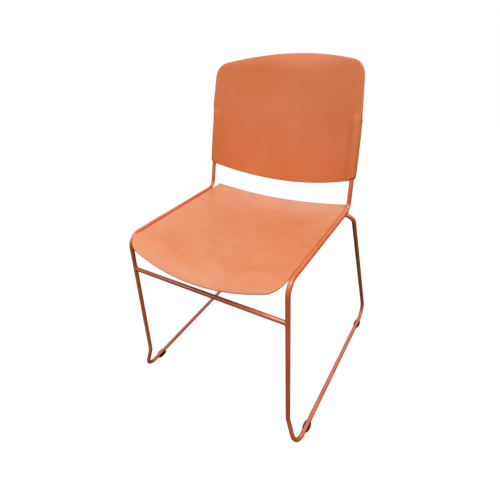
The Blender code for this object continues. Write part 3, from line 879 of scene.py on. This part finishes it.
@dataclass(frozen=True)
class Finish:
    """A finish in layers: toned base, rubbed edges, dust with a painted sheen on upward faces,
    then fine grain over all.
    """

    name: str
    colour: Colour
    roughness: tuple[float, float]
    tone_scale: float
    tone_amount: float
    grain_scale: float
    ripple: float
    bump: float
    depth: float
    wear_radius: float = 0.0
    wear_amount: float = 0.0
    rubbed: Colour = (0.0, 0.0, 0.0)
    dust_and_sheen: float = 0.0
    dust_and_sheen_colour: Colour = (0.0, 0.0, 0.0)
    shine: float = 0.5
    metallic: float = 0.0

    def make(self, effects: Effects) -> bpy.types.Material:
        """Build the material.

        Args:
            effects: The shared groups.

        Returns:
            The material.
        """
        material = bpy.data.materials.new(self.name)
        material.use_nodes = True
        writer = NodeWriter(material.node_tree)
        shader = writer.tree.nodes["Principled BSDF"].inputs
        tone = self._place(writer, effects.tone, Color=(*self.colour, 1.0),
                           Scale=self.tone_scale, Amount=self.tone_amount)
        colour = tone.outputs["Color"]
        if self.wear_amount:
            wear = self._place(writer, effects.wear, Radius=self.wear_radius,
                               Amount=self.wear_amount)
            colour = self._over(writer, wear, colour, self.rubbed)
        # Dust on upward faces, and also a painted sheen of top light: a paler colour is laid where
        # the faces look up.
        if self.dust_and_sheen:
            dust_and_sheen = self._place(writer, effects.dust_and_sheen, Amount=self.dust_and_sheen)
            colour = self._over(writer, dust_and_sheen, colour, self.dust_and_sheen_colour)
        grain = self._place(writer, effects.grain, Scale=self.grain_scale, Ripple=self.ripple)
        relief = writer.node("ShaderNodeBump", {
            "Strength": self.bump, "Distance": self.depth, "Height": grain.outputs["Height"]})
        writer.feed(shader["Base Color"], colour)
        writer.feed(shader["Roughness"],
                    writer.span(grain.outputs["Value"], (0.3, 0.7), self.roughness))
        writer.feed(shader["Normal"], relief.outputs["Normal"])
        shader["Specular IOR Level"].default_value = self.shine
        shader["Metallic"].default_value = self.metallic
        return material

    @staticmethod
    def _place(writer: NodeWriter, group: bpy.types.NodeTree,
               **values: object) -> bpy.types.Node:
        """Place a shared group with its own values."""
        return writer.node("ShaderNodeGroup", values, node_tree=group)

    @staticmethod
    def _over(writer: NodeWriter, cover: bpy.types.Node, base: bpy.types.NodeSocket,
              over: Colour) -> bpy.types.NodeSocket:
        """Lay a colour over another by a placed group's mask.

        Args:
            writer: The material's tree.
            cover: The group whose Mask is the cover.
            base: The colour below.
            over: The colour above.

        Returns:
            The mixed colour's socket.
        """
        mix = writer.node("ShaderNodeMix", {0: cover.outputs["Mask"]}, data_type="RGBA")
        below, above = [socket for socket in mix.inputs if socket.type == "RGBA"]
        writer.feed(below, base)
        above.default_value = (*over, 1.0)
        return next(socket for socket in mix.outputs if socket.type == "RGBA")


@dataclass(frozen=True)
class PowderCoat(Finish):
    """Sprayed and baked coat on steel rod: faint orange peel, rubbed at the edges."""

    name: str = "terracotta_powder_coat"
    colour: Colour = (0.58, 0.114, 0.028)
    roughness: tuple[float, float] = (0.28, 0.38)
    tone_scale: float = 14.0
    tone_amount: float = 0.10
    grain_scale: float = 900.0
    ripple: float = 1.6
    bump: float = 0.5
    depth: float = 0.00006
    wear_radius: float = 0.0008
    wear_amount: float = 0.35
    rubbed: Colour = (0.66, 0.22, 0.10)
    shine: float = 0.95


@dataclass(frozen=True)
class MouldedPlastic(Finish):
    """Injection-moulded plastic with a spark-eroded matte grain."""

    roughness: tuple[float, float] = (0.44, 0.58)
    tone_scale: float = 8.0
    tone_amount: float = 0.07
    grain_scale: float = 1400.0
    ripple: float = 0.25
    bump: float = 0.6
    depth: float = 0.00008
    wear_radius: float = 0.0015
    wear_amount: float = 0.30
    rubbed: Colour = (0.80, 0.36, 0.20)
    # Paler colour on upward faces: dust and painted sheen of top light.
    dust_and_sheen: float = 0.10
    dust_and_sheen_colour: Colour = (0.82, 0.50, 0.36)
    shine: float = 0.75


@dataclass(frozen=True)
class ScuffedBlack(Finish):
    """Black plastic or rubber, greyed where it rubs, and on upward faces by dust and a painted
    sheen.
    """

    colour: Colour = (0.012, 0.012, 0.013)
    roughness: tuple[float, float] = (0.42, 0.62)
    tone_scale: float = 60.0
    tone_amount: float = 0.5
    grain_scale: float = 1100.0
    ripple: float = 0.4
    bump: float = 0.5
    depth: float = 0.0001
    wear_radius: float = 0.0006
    wear_amount: float = 0.6
    rubbed: Colour = (0.10, 0.095, 0.09)
    dust_and_sheen: float = 0.06
    dust_and_sheen_colour: Colour = (0.10, 0.095, 0.09)


@dataclass(frozen=True)
class ZincPlate(Finish):
    """Zinc-plated screw steel."""

    name: str = "zinc_plated_steel"
    colour: Colour = (0.58, 0.58, 0.60)
    roughness: tuple[float, float] = (0.22, 0.42)
    tone_scale: float = 500.0
    tone_amount: float = 0.3
    grain_scale: float = 2500.0
    ripple: float = 0.3
    bump: float = 0.3
    depth: float = 0.00003
    metallic: float = 1.0


class Finishes:
    """Every finish of the chair, by material slot."""

    def __init__(self) -> None:
        """Build the materials."""
        effects = Effects()
        finishes = {
            Slot.FRAME: PowderCoat(),
            # Seat and backrest are one plastic. The seat's less saturated base colour, and its
            # stronger pale cover on upward faces, are a painted sheen of top light.
            Slot.SEAT: MouldedPlastic("terracotta_seat_plastic", (0.535, 0.163, 0.052)),
            Slot.BACK: MouldedPlastic("terracotta_back_plastic", (0.60, 0.150, 0.034),
                                      dust_and_sheen=0.05),
            Slot.GLIDE: ScuffedBlack("black_glide_plastic"),
            Slot.BUFFER: ScuffedBlack("black_buffer_rubber", roughness=(0.68, 0.88),
                                      wear_amount=0.3, dust_and_sheen=0.03),
            Slot.SCREW: ZincPlate(),
        }
        self.by_slot = {slot: finish.make(effects) for slot, finish in finishes.items()}

    def dress_node(self, node: str, slot: Slot) -> None:
        """Give a CAD node that stays shown its finish."""
        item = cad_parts[node]
        item.data.materials.clear()
        item.data.materials.append(self.by_slot[slot])
        LOG.info("%s: CAD node, %s", node, slot.value)


# ---------------------------------------------------------------- sub-assemblies

@dataclass
class RodFrame:
    """The two bent side rods, the crossbar, the seat tabs and their weld beads."""

    layout: ChairLayout
    sides: int = 32
    bend_step: float = math.radians(4.5)
    end_ease: float = 0.0006
    bead_radius: float = 0.0013
    bead_points: int = 96
    bead_sides: int = 10
    ripples: int = 26
    ripple: float = 0.14
    crossbar_bite: float = 0.6
    saddle: float = 0.75
    saddle_lift: float = 0.0006
    spot_radius: float = 0.0036
    spot_bead: float = 0.00143
    ground_bead: float = 0.00091
    ground_depth: float = 0.0004
    tab_reach: float = 0.36
    tab_inward: float = 0.62
    tab_down: float = 0.98
    tab_wave: float = 1.7
    tab_taper: float = 0.35

    def build(self, finishes: Finishes) -> None:
        """Make every piece of the frame.

        Args:
            finishes: The chair's finishes.
        """
        paint = finishes.by_slot[Slot.FRAME]
        for side in Side:
            add_piece(self.side_rod(side), paint, Slot.FRAME, f"{side.word}_side_rod")
        add_piece(self.crossbar(), paint, Slot.FRAME, "front_crossbar")
        for side in Side:
            add_piece(self.crossbar_weld(side), paint, Slot.FRAME)
            add_piece(self.rail_weld(side), paint, Slot.FRAME)
            for end in End:
                finishes.dress_node(f"seat_tab_{end.value}_{side.word}", Slot.FRAME)
                add_piece(self.tab_weld(side, end), paint, Slot.FRAME)
        add_piece(self.middle_weld(), paint, Slot.FRAME)

    def side_rod(self, side: Side) -> bpy.types.Mesh:
        """One side of the chair in a single bent rod."""
        path = rounded_path(*self.layout.side_corners(side), self.bend_step)
        return self._rod(f"bent_side_rod_{side.word}", path)

    def crossbar(self) -> bpy.types.Mesh:
        """The straight bar between the front legs."""
        joint = self._crossbar_joint(Side.RIGHT)
        reach = joint.x - self.layout.rod_radius * self.crossbar_bite
        ends = [Vector((x, joint.y, joint.z)) for x in (-reach, 0.0, reach)]
        return self._rod("straight_crossbar", ends)

    def _rod(self, name: str, path: Loop) -> bpy.types.Mesh:
        """A round rod with eased ends along a path."""
        radius = self.layout.rod_radius
        first = (path[1] - path[0]).normalized()
        last = (path[-1] - path[-2]).normalized()
        eased = [path[0], path[0] + first * self.end_ease, *path[1:-1],
                 path[-1] - last * self.end_ease, path[-1]]
        radii = [radius] * len(eased)
        radii[0] = radii[-1] = radius - self.end_ease
        skin = Skin()
        skin.tube(eased, radii, self.sides)
        return skin.mesh(name)

    def _crossbar_joint(self, side: Side) -> Vector:
        """Where the crossbar's line meets a front leg's."""
        corners, _ = self.layout.side_corners(side)
        return corners[2].lerp(corners[3], self.layout.crossbar_fraction)

    def _bead(self, name: str, path: Loop, centre: Vector, radius: float) -> bpy.types.Mesh:
        """A rippled weld bead along a closed path."""
        radii = [radius * (1 + self.ripple * math.sin(2 * math.pi * self.ripples * i / len(path)))
                 for i in range(len(path))]
        skin = Skin()
        skin.tube(path, radii, self.bead_sides, closed=True, centre=centre)
        return skin.mesh(name, math.pi)

    def crossbar_weld(self, side: Side) -> bpy.types.Mesh:
        """Bead round the crossbar's end, against the front leg."""
        corners, _ = self.layout.side_corners(side)
        leg = (corners[3] - corners[2]).normalized()
        joint = self._crossbar_joint(side)
        inward = Vector((-side.value, 0.0, 0.0))
        across = inward.cross(leg).normalized()
        radius = self.layout.rod_radius
        path = []
        for c, s in circle(self.bead_points):
            out = radius * abs(c) * self.saddle + self.saddle_lift
            path.append(joint + leg * radius * c + across * radius * s + inward * out)
        return self._bead(f"crossbar_weld_{side.word}", path, joint, self.bead_radius)

    def rail_weld(self, side: Side) -> bpy.types.Mesh:
        """Bead round the spot where the rear cross touches the rail's bend."""
        layout = self.layout
        cross_y, cross_z = layout.rear_cross_place()
        rail_x = layout.rail_front_half + layout.rail_spread
        out = Vector((0.0, math.sin(layout.cross_nest), -math.cos(layout.cross_nest)))
        centre = Vector((side.value * rail_x, cross_y, cross_z)) - out * layout.rod_radius
        one = Vector((1.0, 0.0, 0.0))
        two = out.cross(one)
        path = [centre + (one * c + two * s) * self.spot_radius
                for c, s in circle(self.bead_points)]
        return self._bead(f"rail_weld_{side.word}", path, centre, self.spot_bead)

    def tab_weld(self, side: Side, end: End) -> bpy.types.Mesh:
        """Bead along a seat tab, in the corner under the rail."""
        low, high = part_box(f"seat_tab_{end.value}_{side.word}")
        middle_y = (low.y + high.y) / 2
        radius = self.layout.rod_radius
        rail = Vector((side.value * self.layout.rail_half(middle_y), middle_y,
                       self.layout.rail_height(middle_y)))
        reach = (high.y - low.y) * self.tab_reach
        steps = self.bead_points // 2
        under = rail + Vector((-side.value * radius * self.tab_inward, 0.0,
                               -radius * self.tab_down))
        path = [under + Vector((0.0, reach * (2 * i / steps - 1), 0.0))
                for i in range(steps + 1)]
        radii = [self.bead_radius * (1 + self.ripple * math.sin(i * self.tab_wave))
                 * min(1.0, self.tab_taper * (1 + min(i, steps - i)))
                 for i in range(steps + 1)]
        skin = Skin()
        skin.tube(path, radii, self.bead_sides)
        return skin.mesh(f"tab_weld_{end.value}_{side.word}", math.pi)

    def middle_weld(self) -> bpy.types.Mesh:
        """Ground-down bead where the two side rods meet in the rear cross."""
        cross_y, _ = self.layout.rear_cross_place()
        centre = Vector((0.0, cross_y, self.layout.cross_height(0.0)))
        ring = self.layout.rod_radius - self.ground_depth
        path = [centre + Vector((0.0, c, s)) * ring for c, s in circle(self.bead_points)]
        return self._bead("rear_cross_weld", path, centre, self.ground_bead)


@dataclass
class SeatShell:
    """The dished seat panel with a rounded rim and four screw bosses below."""

    layout: ChairLayout
    front_corner: float = 0.0364
    rear_corner: float = 0.005
    columns: int = 14
    corner_columns: int = 12
    rows: int = 44
    rim_steps: int = 10
    boss_radius: float = 0.007
    boss_flare: float = 0.0022
    boss_ease: float = 0.0006
    boss_least: float = 0.0008
    boss_straight: float = 0.0007
    boss_root: float = 0.0012
    boss_turns: tuple[float, ...] = (0.0, 0.5, 1.0, 1.3, math.pi / 2)
    tab_gap: float = 0.0006

    def build(self, finishes: Finishes) -> None:
        """Make the seat.

        Args:
            finishes: The chair's finishes.
        """
        skin = Skin()
        front = list(self._rows())
        thickness = self.layout.seat_thickness
        depths, rims = ([[value] * len(row) for row in front]
                        for value in (thickness, thickness / 2))
        skin.shell(front, depths, rims, self.rim_steps)
        mesh = carve(skin.mesh("dished_seat"), list(self._bosses()), "UNION")
        add_piece(mesh, finishes.by_slot[Slot.SEAT], Slot.SEAT, "seat_shell")

    def _rows(self) -> Iterator[Loop]:
        """Rows of points on the top face, short of the rim by half the thickness.

        Yields:
            One row from left to right, from the front edge to the rear.
        """
        layout = self.layout
        inset = layout.seat_thickness / 2
        half_width = layout.rail_front_half - layout.seat_inset - inset
        front_edge = BowedEdge(half_width, layout.seat_front_bow, self.front_corner - inset)
        rear_edge = BowedEdge(half_width, layout.seat_rear_bow, self.rear_corner - inset)
        places = both_sides(half_width - self.front_corner, self.front_corner,
                            self.columns, self.corner_columns)
        for i in range(self.rows + 1):
            row = []
            for x in places:
                front = layout.seat_front_y + inset - front_edge.reach(x)
                rear = layout.seat_rear_y - inset + rear_edge.reach(x)
                y = front + (rear - front) * i / self.rows
                spread = x * (layout.seat_half(y) - inset) / half_width
                row.append(Vector((spread, y, layout.seat_height(spread, y))))
            yield row

    def _bosses(self) -> Iterator[bpy.types.Mesh]:
        """Screw bosses that stand on the seat tabs, flared where they leave the panel.

        Yields:
            The mesh of each boss.
        """
        for side in Side:
            for end in End:
                low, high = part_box(f"seat_screw_{end.value}_{side.word}")
                middle = (low + high) / 2
                place = self.layout.seat_placement(middle.x, middle.y)
                foot = min(-self.boss_least, self._tab_top(place, side) + self.tab_gap)
                radius, flare, ease = self.boss_radius, self.boss_flare, self.boss_ease
                profile = [(radius - ease, foot), (radius, foot + ease)]
                profile += [(radius + flare * (1 - math.cos(a)), flare * (math.sin(a) - 1))
                            for a in self.boss_turns
                            if flare * (math.sin(a) - 1) > foot + self.boss_straight]
                profile.append((radius + flare, self.boss_root))
                yield turned(profile, place).mesh("seat_boss")

    def _tab_top(self, place: Matrix, side: Side) -> float:
        """Height of a tab's top face in a placement under the seat."""
        origin = place.translation
        rail = Vector((side.value * self.layout.rail_half(origin.y), origin.y,
                       self.layout.rail_height(origin.y)))
        return (place.inverted() @ rail).z - self.layout.rod_radius - MESH_GAP


@dataclass
class Backrest:
    """The curved backrest, whose sides roll round the uprights up to their tips."""

    layout: ChairLayout
    thickness: float = 0.0040
    pocket_radius: float = 0.00725
    pocket_width: float = 1.1
    swell_width: float = 0.022
    tip_height: float = 0.202
    shoulder: float = 0.026
    top_corner: float = 0.0346
    rows: int = 64
    columns: int = 16
    corner_columns: int = 12
    rim_steps: int = 14
    bore_radius: float = 0.00536
    bore_foot: float = 0.0515
    bore_room: float = 0.001
    bore_sides: int = 48

    def build(self, finishes: Finishes) -> None:
        """Make the backrest.

        Args:
            finishes: The chair's finishes.
        """
        rows = list(self._rows())
        front, depths, rims = ([[spot[k] for spot in row] for row in rows] for k in range(3))
        skin = Skin()
        skin.shell(front, depths, rims, self.rim_steps)
        mesh = carve(skin.mesh("curved_backrest"), [self._bore(side) for side in Side],
                     "DIFFERENCE")
        add_piece(mesh, finishes.by_slot[Slot.BACK], Slot.BACK, "backrest_shell")

    def _above_tip(self, height: float) -> float:
        """Zero beside the uprights and one above the shoulder over their tips."""
        return smoothstep(min(1.0, max(0.0, (height - self.tip_height) / self.shoulder)))

    def _edge(self, height: float) -> float:
        """Where the rounded rim starts: on the upright's axis, or half a panel in."""
        axis = self.layout.upright_point(Side.RIGHT, height).x
        panel = self.layout.back_half_at(height) - self.thickness / 2
        return axis + (panel - axis) * self._above_tip(height)

    def _rows(self) -> Iterator[list[tuple[Vector, float, float]]]:
        """Rows of points on the front face, from the bottom up.

        Yields:
            For each point its place, the thickness behind it and its rim's reach.
        """
        layout = self.layout
        inset = self.thickness / 2
        top_edge = BowedEdge(layout.back_half - inset, layout.back_top_bow,
                             self.top_corner - inset)
        start = 1 - self.top_corner / layout.back_half
        shares = both_sides(start, 1 - start, self.columns, self.corner_columns)
        for i in range(self.rows + 1):
            row = []
            for share in shares:
                top = (layout.back_top - inset
                       + top_edge.reach(share * (layout.back_half - inset)))
                foot = layout.back_bottom - layout.back_bottom_bow * (1 - share ** 2)
                bottom = foot + self._end_rim(share, foot)
                height = bottom + (top - bottom) * i / self.rows
                edge = self._edge(height)
                rim = inset if i == self.rows else layout.back_half_at(height) - edge
                if i == 0:
                    rim = self._end_rim(share, foot)
                row.append((*self._section(share * edge, height), rim))
            yield row

    def _end_rim(self, share: float, height: float) -> float:
        """Reach of the bottom rim: half a panel, growing round the pocket's end."""
        edge = self._edge(height)
        inward = (1 - abs(share)) * edge
        reach = self.layout.back_half_at(height) - edge - self.thickness / 2
        return self.thickness / 2 + reach * math.exp(-(inward / self.pocket_radius) ** 2)

    def _section(self, x: float, height: float) -> tuple[Vector, float]:
        """Point on the front face and the thickness there, swollen round the uprights.

        Args:
            x: Place across the backrest.
            height: Distance up from the rail.

        Returns:
            The point and the thickness.
        """
        layout = self.layout
        beside = 1 - self._above_tip(height)
        inward = self._edge(height) - abs(x)
        swell = smoothstep(max(0.0, 1 - inward / self.swell_width)) * beside
        panel = layout.back_point(x, height)
        depth = (panel - layout.upright_foot(Side.RIGHT)).dot(layout.back_rearward)
        point = panel - layout.back_rearward * (self.pocket_radius + depth) * swell
        grown = math.exp(-(inward / (self.pocket_width * self.pocket_radius)) ** 4) * beside
        return point, self.thickness + (2 * self.pocket_radius - self.thickness) * grown

    def _bore(self, side: Side) -> bpy.types.Mesh:
        """The blind hole that an upright stands in."""
        layout = self.layout
        foot = layout.upright_point(side, self.bore_foot)
        reach = layout.upright_length + self.bore_room
        tip = layout.upright_foot(side) + layout.upright_direction(side) * reach
        skin = Skin()
        skin.tube([foot, tip], [self.bore_radius] * 2, self.bore_sides)
        return skin.mesh("upright_bore")


@dataclass
class Glides:
    """Four black glides that clip round the runners."""

    layout: ChairLayout
    half_length: float = 0.016
    half_width: float = 0.0085
    channel: float = 0.00545
    outline_points: int = 56
    squareness: float = 2.6
    channel_sides: int = 40
    profile: tuple[tuple[float, float], ...] = (
        (0.0, 0.0020), (0.0003, 0.0012), (0.0010, 0.0005), (0.0022, 0.0001), (0.0040, 0.0),
        (0.0085, 0.0001), (0.0108, 0.0006), (0.0118, 0.0013), (0.0122, 0.0022))

    def build(self, finishes: Finishes) -> None:
        """Make the glides where the CAD has them.

        Args:
            finishes: The chair's finishes.
        """
        for side in Side:
            corners, _ = self.layout.side_corners(side)
            along = (corners[5] - corners[4]).normalized()
            for end in End:
                node = f"glide_{end.value}_{side.word}"
                low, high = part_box(node)
                centre = (low + high) / 2
                place = placement(Vector((centre.x, centre.y, 0.0)), WORLD_UP, along)
                skin = Skin()
                skin.stack([self._outline(place, inset, height)
                            for height, inset in self.profile])
                axis = place @ Vector((0.0, 0.0, self.layout.runner_height))
                bore = Skin()
                reach = along * 2 * self.half_length
                bore.tube([axis - reach, axis + reach], [self.channel] * 2,
                          self.channel_sides)
                mesh = carve(skin.mesh(f"clip_on_{node}"), [bore.mesh("channel")],
                             "DIFFERENCE")
                add_piece(mesh, finishes.by_slot[Slot.GLIDE], Slot.GLIDE, node)

    def _outline(self, place: Matrix, inset: float, height: float) -> Loop:
        """An oval outline with rounded ends at one height.

        Args:
            place: The glide's placement on the floor.
            inset: How far the outline draws in.
            height: Its height.

        Returns:
            The points of the outline.
        """
        points = []
        for x, y in circle(self.outline_points):
            x = math.copysign(abs(x) ** (2 / self.squareness), x) * (self.half_width - inset)
            y = math.copysign(abs(y) ** (2 / self.squareness), y) * (self.half_length - inset)
            points.append(place @ Vector((x, y, height)))
        return points


class Fixings:
    """The stacking buffers and the screws, which stay as the CAD made them."""

    def build(self, finishes: Finishes) -> None:
        """Dress every buffer and screw.

        Args:
            finishes: The chair's finishes.
        """
        for node in sorted(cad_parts):
            if node.startswith("stacking_buffer"):
                finishes.dress_node(node, Slot.BUFFER)
            elif "screw" in node:
                finishes.dress_node(node, Slot.SCREW)


# ---------------------------------------------------------------- studio

@dataclass(frozen=True)
class Softbox:
    """A square area light that looks at the chair."""

    name: str
    place: tuple[float, float, float]
    size: float
    power: float
    colour: Colour = (1.0, 1.0, 1.0)

    def build(self, target: Vector) -> None:
        """Make the light.

        Args:
            target: The point that it faces.
        """
        data = bpy.data.lights.new(self.name, "AREA")
        data.size = self.size
        data.energy = self.power
        data.color = self.colour
        item = bpy.data.objects.new(self.name, data)
        item.location = self.place
        item.rotation_mode = "QUATERNION"
        item.rotation_quaternion = (target - item.location).to_track_quat("-Z", "Y")
        bpy.context.scene.collection.objects.link(item)


@dataclass
class Studio:
    """Pale floor, white room and soft lights."""

    lights: tuple[Softbox, ...] = (
        Softbox("key_softbox", (0.95, -0.75, 2.3), 0.7, 29.0),
        Softbox("fill_softbox", (-1.3, -1.25, 1.85), 1.0, 15.0),
        Softbox("rim_softbox", (-0.9, 2.1, 1.3), 1.0, 5.0),
    )
    floor_half: float = 9.0
    floor_steps: int = 12
    floor_matte: tuple[float, ...] = (0.22, 0.22, 0.22, 1.0)
    floor_glow: float = 0.82
    floor_bounce: tuple[float, ...] = (0.06, 0.05, 0.045, 1.0)
    sky_up: float = 0.95
    sky_level: float = 0.20
    sky_down: float = 0.02
    target: Vector = field(default_factory=lambda: Vector((0.0, 0.0, 0.42)))

    def build(self) -> None:
        """Make the floor, the room's light and the lamps."""
        self._floor()
        self._room()
        for light in self.lights:
            light.build(self.target)
        view = bpy.context.scene.view_settings
        view.view_transform = "Standard"
        view.look = "None"

    def _floor(self) -> None:
        """A wide, flat sheet on the ground, white to the eye."""
        skin = Skin()
        steps = self.floor_steps
        spots = [self.floor_half * (2 * i / steps - 1) for i in range(steps + 1)]
        rows = [skin.add([Vector((x, y, 0.0)) for x in spots]) for y in spots]
        for one, two in zip(rows, rows[1:]):
            skin.bridge(one, two, closed=False)
        mesh = bpy.data.meshes.new("studio_floor")
        mesh.from_pydata([tuple(p) for p in skin.points], [], skin.faces)
        floor = bpy.data.objects.new("studio_floor", mesh)
        mesh.materials.append(self._floor_material())
        bpy.context.scene.collection.objects.link(floor)
        floor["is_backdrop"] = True

    def _floor_material(self) -> bpy.types.Material:
        """Pale floor that keeps its own light off the chair.

        Returns:
            The material.
        """
        material = bpy.data.materials.new("pale_floor")
        material.use_nodes = True
        writer = NodeWriter(material.node_tree)
        writer.tree.nodes.clear()
        matte = writer.node("ShaderNodeBsdfDiffuse", {"Color": self.floor_matte})
        glow = writer.node("ShaderNodeEmission", {"Color": WHITE, "Strength": self.floor_glow})
        seen = writer.node("ShaderNodeAddShader", {0: matte.outputs[0], 1: glow.outputs[0]})
        dim = writer.node("ShaderNodeBsdfDiffuse", {"Color": self.floor_bounce})
        writer.seen_by_eye(seen, dim, "ShaderNodeOutputMaterial")
        return material

    def _room(self) -> None:
        """White room: bright from the horizon up, dim below, plain white to the eye."""
        world = bpy.data.worlds.new("white_room")
        bpy.context.scene.world = world
        world.use_nodes = True
        writer = NodeWriter(world.node_tree)
        writer.tree.nodes.clear()
        seen = writer.node("ShaderNodeBackground", {"Color": WHITE})
        place = writer.node("ShaderNodeTexCoord")
        split = writer.node("ShaderNodeSeparateXYZ", {0: place.outputs["Generated"]})
        height = split.outputs["Z"]
        level = writer.span(height, (-0.12, 0.12), (self.sky_down, self.sky_level),
                            interpolation_type="SMOOTHSTEP")
        upper = writer.span(height, (0.1, 0.7), (0.0, self.sky_up - self.sky_level),
                            interpolation_type="SMOOTHSTEP")
        total = writer.node("ShaderNodeMath", {0: level, 1: upper})
        room = writer.node("ShaderNodeBackground", {
            "Color": WHITE, "Strength": total.outputs[0]})
        writer.seen_by_eye(seen, room, "ShaderNodeOutputWorld")


@dataclass(frozen=True)
class ViewCamera:
    """The camera: where it stands, how it is turned and its lens."""

    place: tuple[float, float, float] = (0.4093, -0.7020, 0.8534)
    azimuth: float = math.radians(36.144)
    elevation: float = math.radians(31.389)
    roll: float = math.radians(-5.557)
    lens: float = 25.95
    shift: tuple[float, float] = (0.0539, -0.0077)

    def build(self) -> None:
        """Make the camera and set it as the scene's."""
        level = math.cos(self.elevation)
        back = Vector((math.sin(self.azimuth) * level, -math.cos(self.azimuth) * level,
                       math.sin(self.elevation)))
        right = WORLD_UP.cross(back).normalized()
        up = back.cross(right)
        turned_right = right * math.cos(self.roll) + up * math.sin(self.roll)
        turned_up = up * math.cos(self.roll) - right * math.sin(self.roll)
        data = bpy.data.cameras.new("view_camera")
        data.lens = self.lens
        data.shift_x, data.shift_y = self.shift
        data.clip_start = 0.05
        item = bpy.data.objects.new("view_camera", data)
        rotation = Matrix((turned_right, turned_up, back)).transposed()
        item.matrix_world = Matrix.Translation(self.place) @ rotation.to_4x4()
        bpy.context.scene.collection.objects.link(item)
        bpy.context.scene.camera = item


def write_sizes() -> None:
    """Gather the CAD's box and the visual model's box as plain lists; nothing is written."""
    boxes = {"cad": CAD_BOX, "visual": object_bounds()}
    plain = {name: [list(corner) for corner in box] for name, box in boxes.items()}


def main() -> None:
    """Build the chair's looks and the studio."""
    logging.basicConfig(level=logging.INFO, format="%(name)s: %(message)s")
    layout = ChairLayout.from_frame()
    finishes = Finishes()
    for assembly in (RodFrame(layout), SeatShell(layout), Backrest(layout), Glides(layout),
                     Fixings()):
        assembly.build(finishes)
    Studio().build()
    ViewCamera().build()
    write_sizes()


if __name__ == "__main__":
    main()
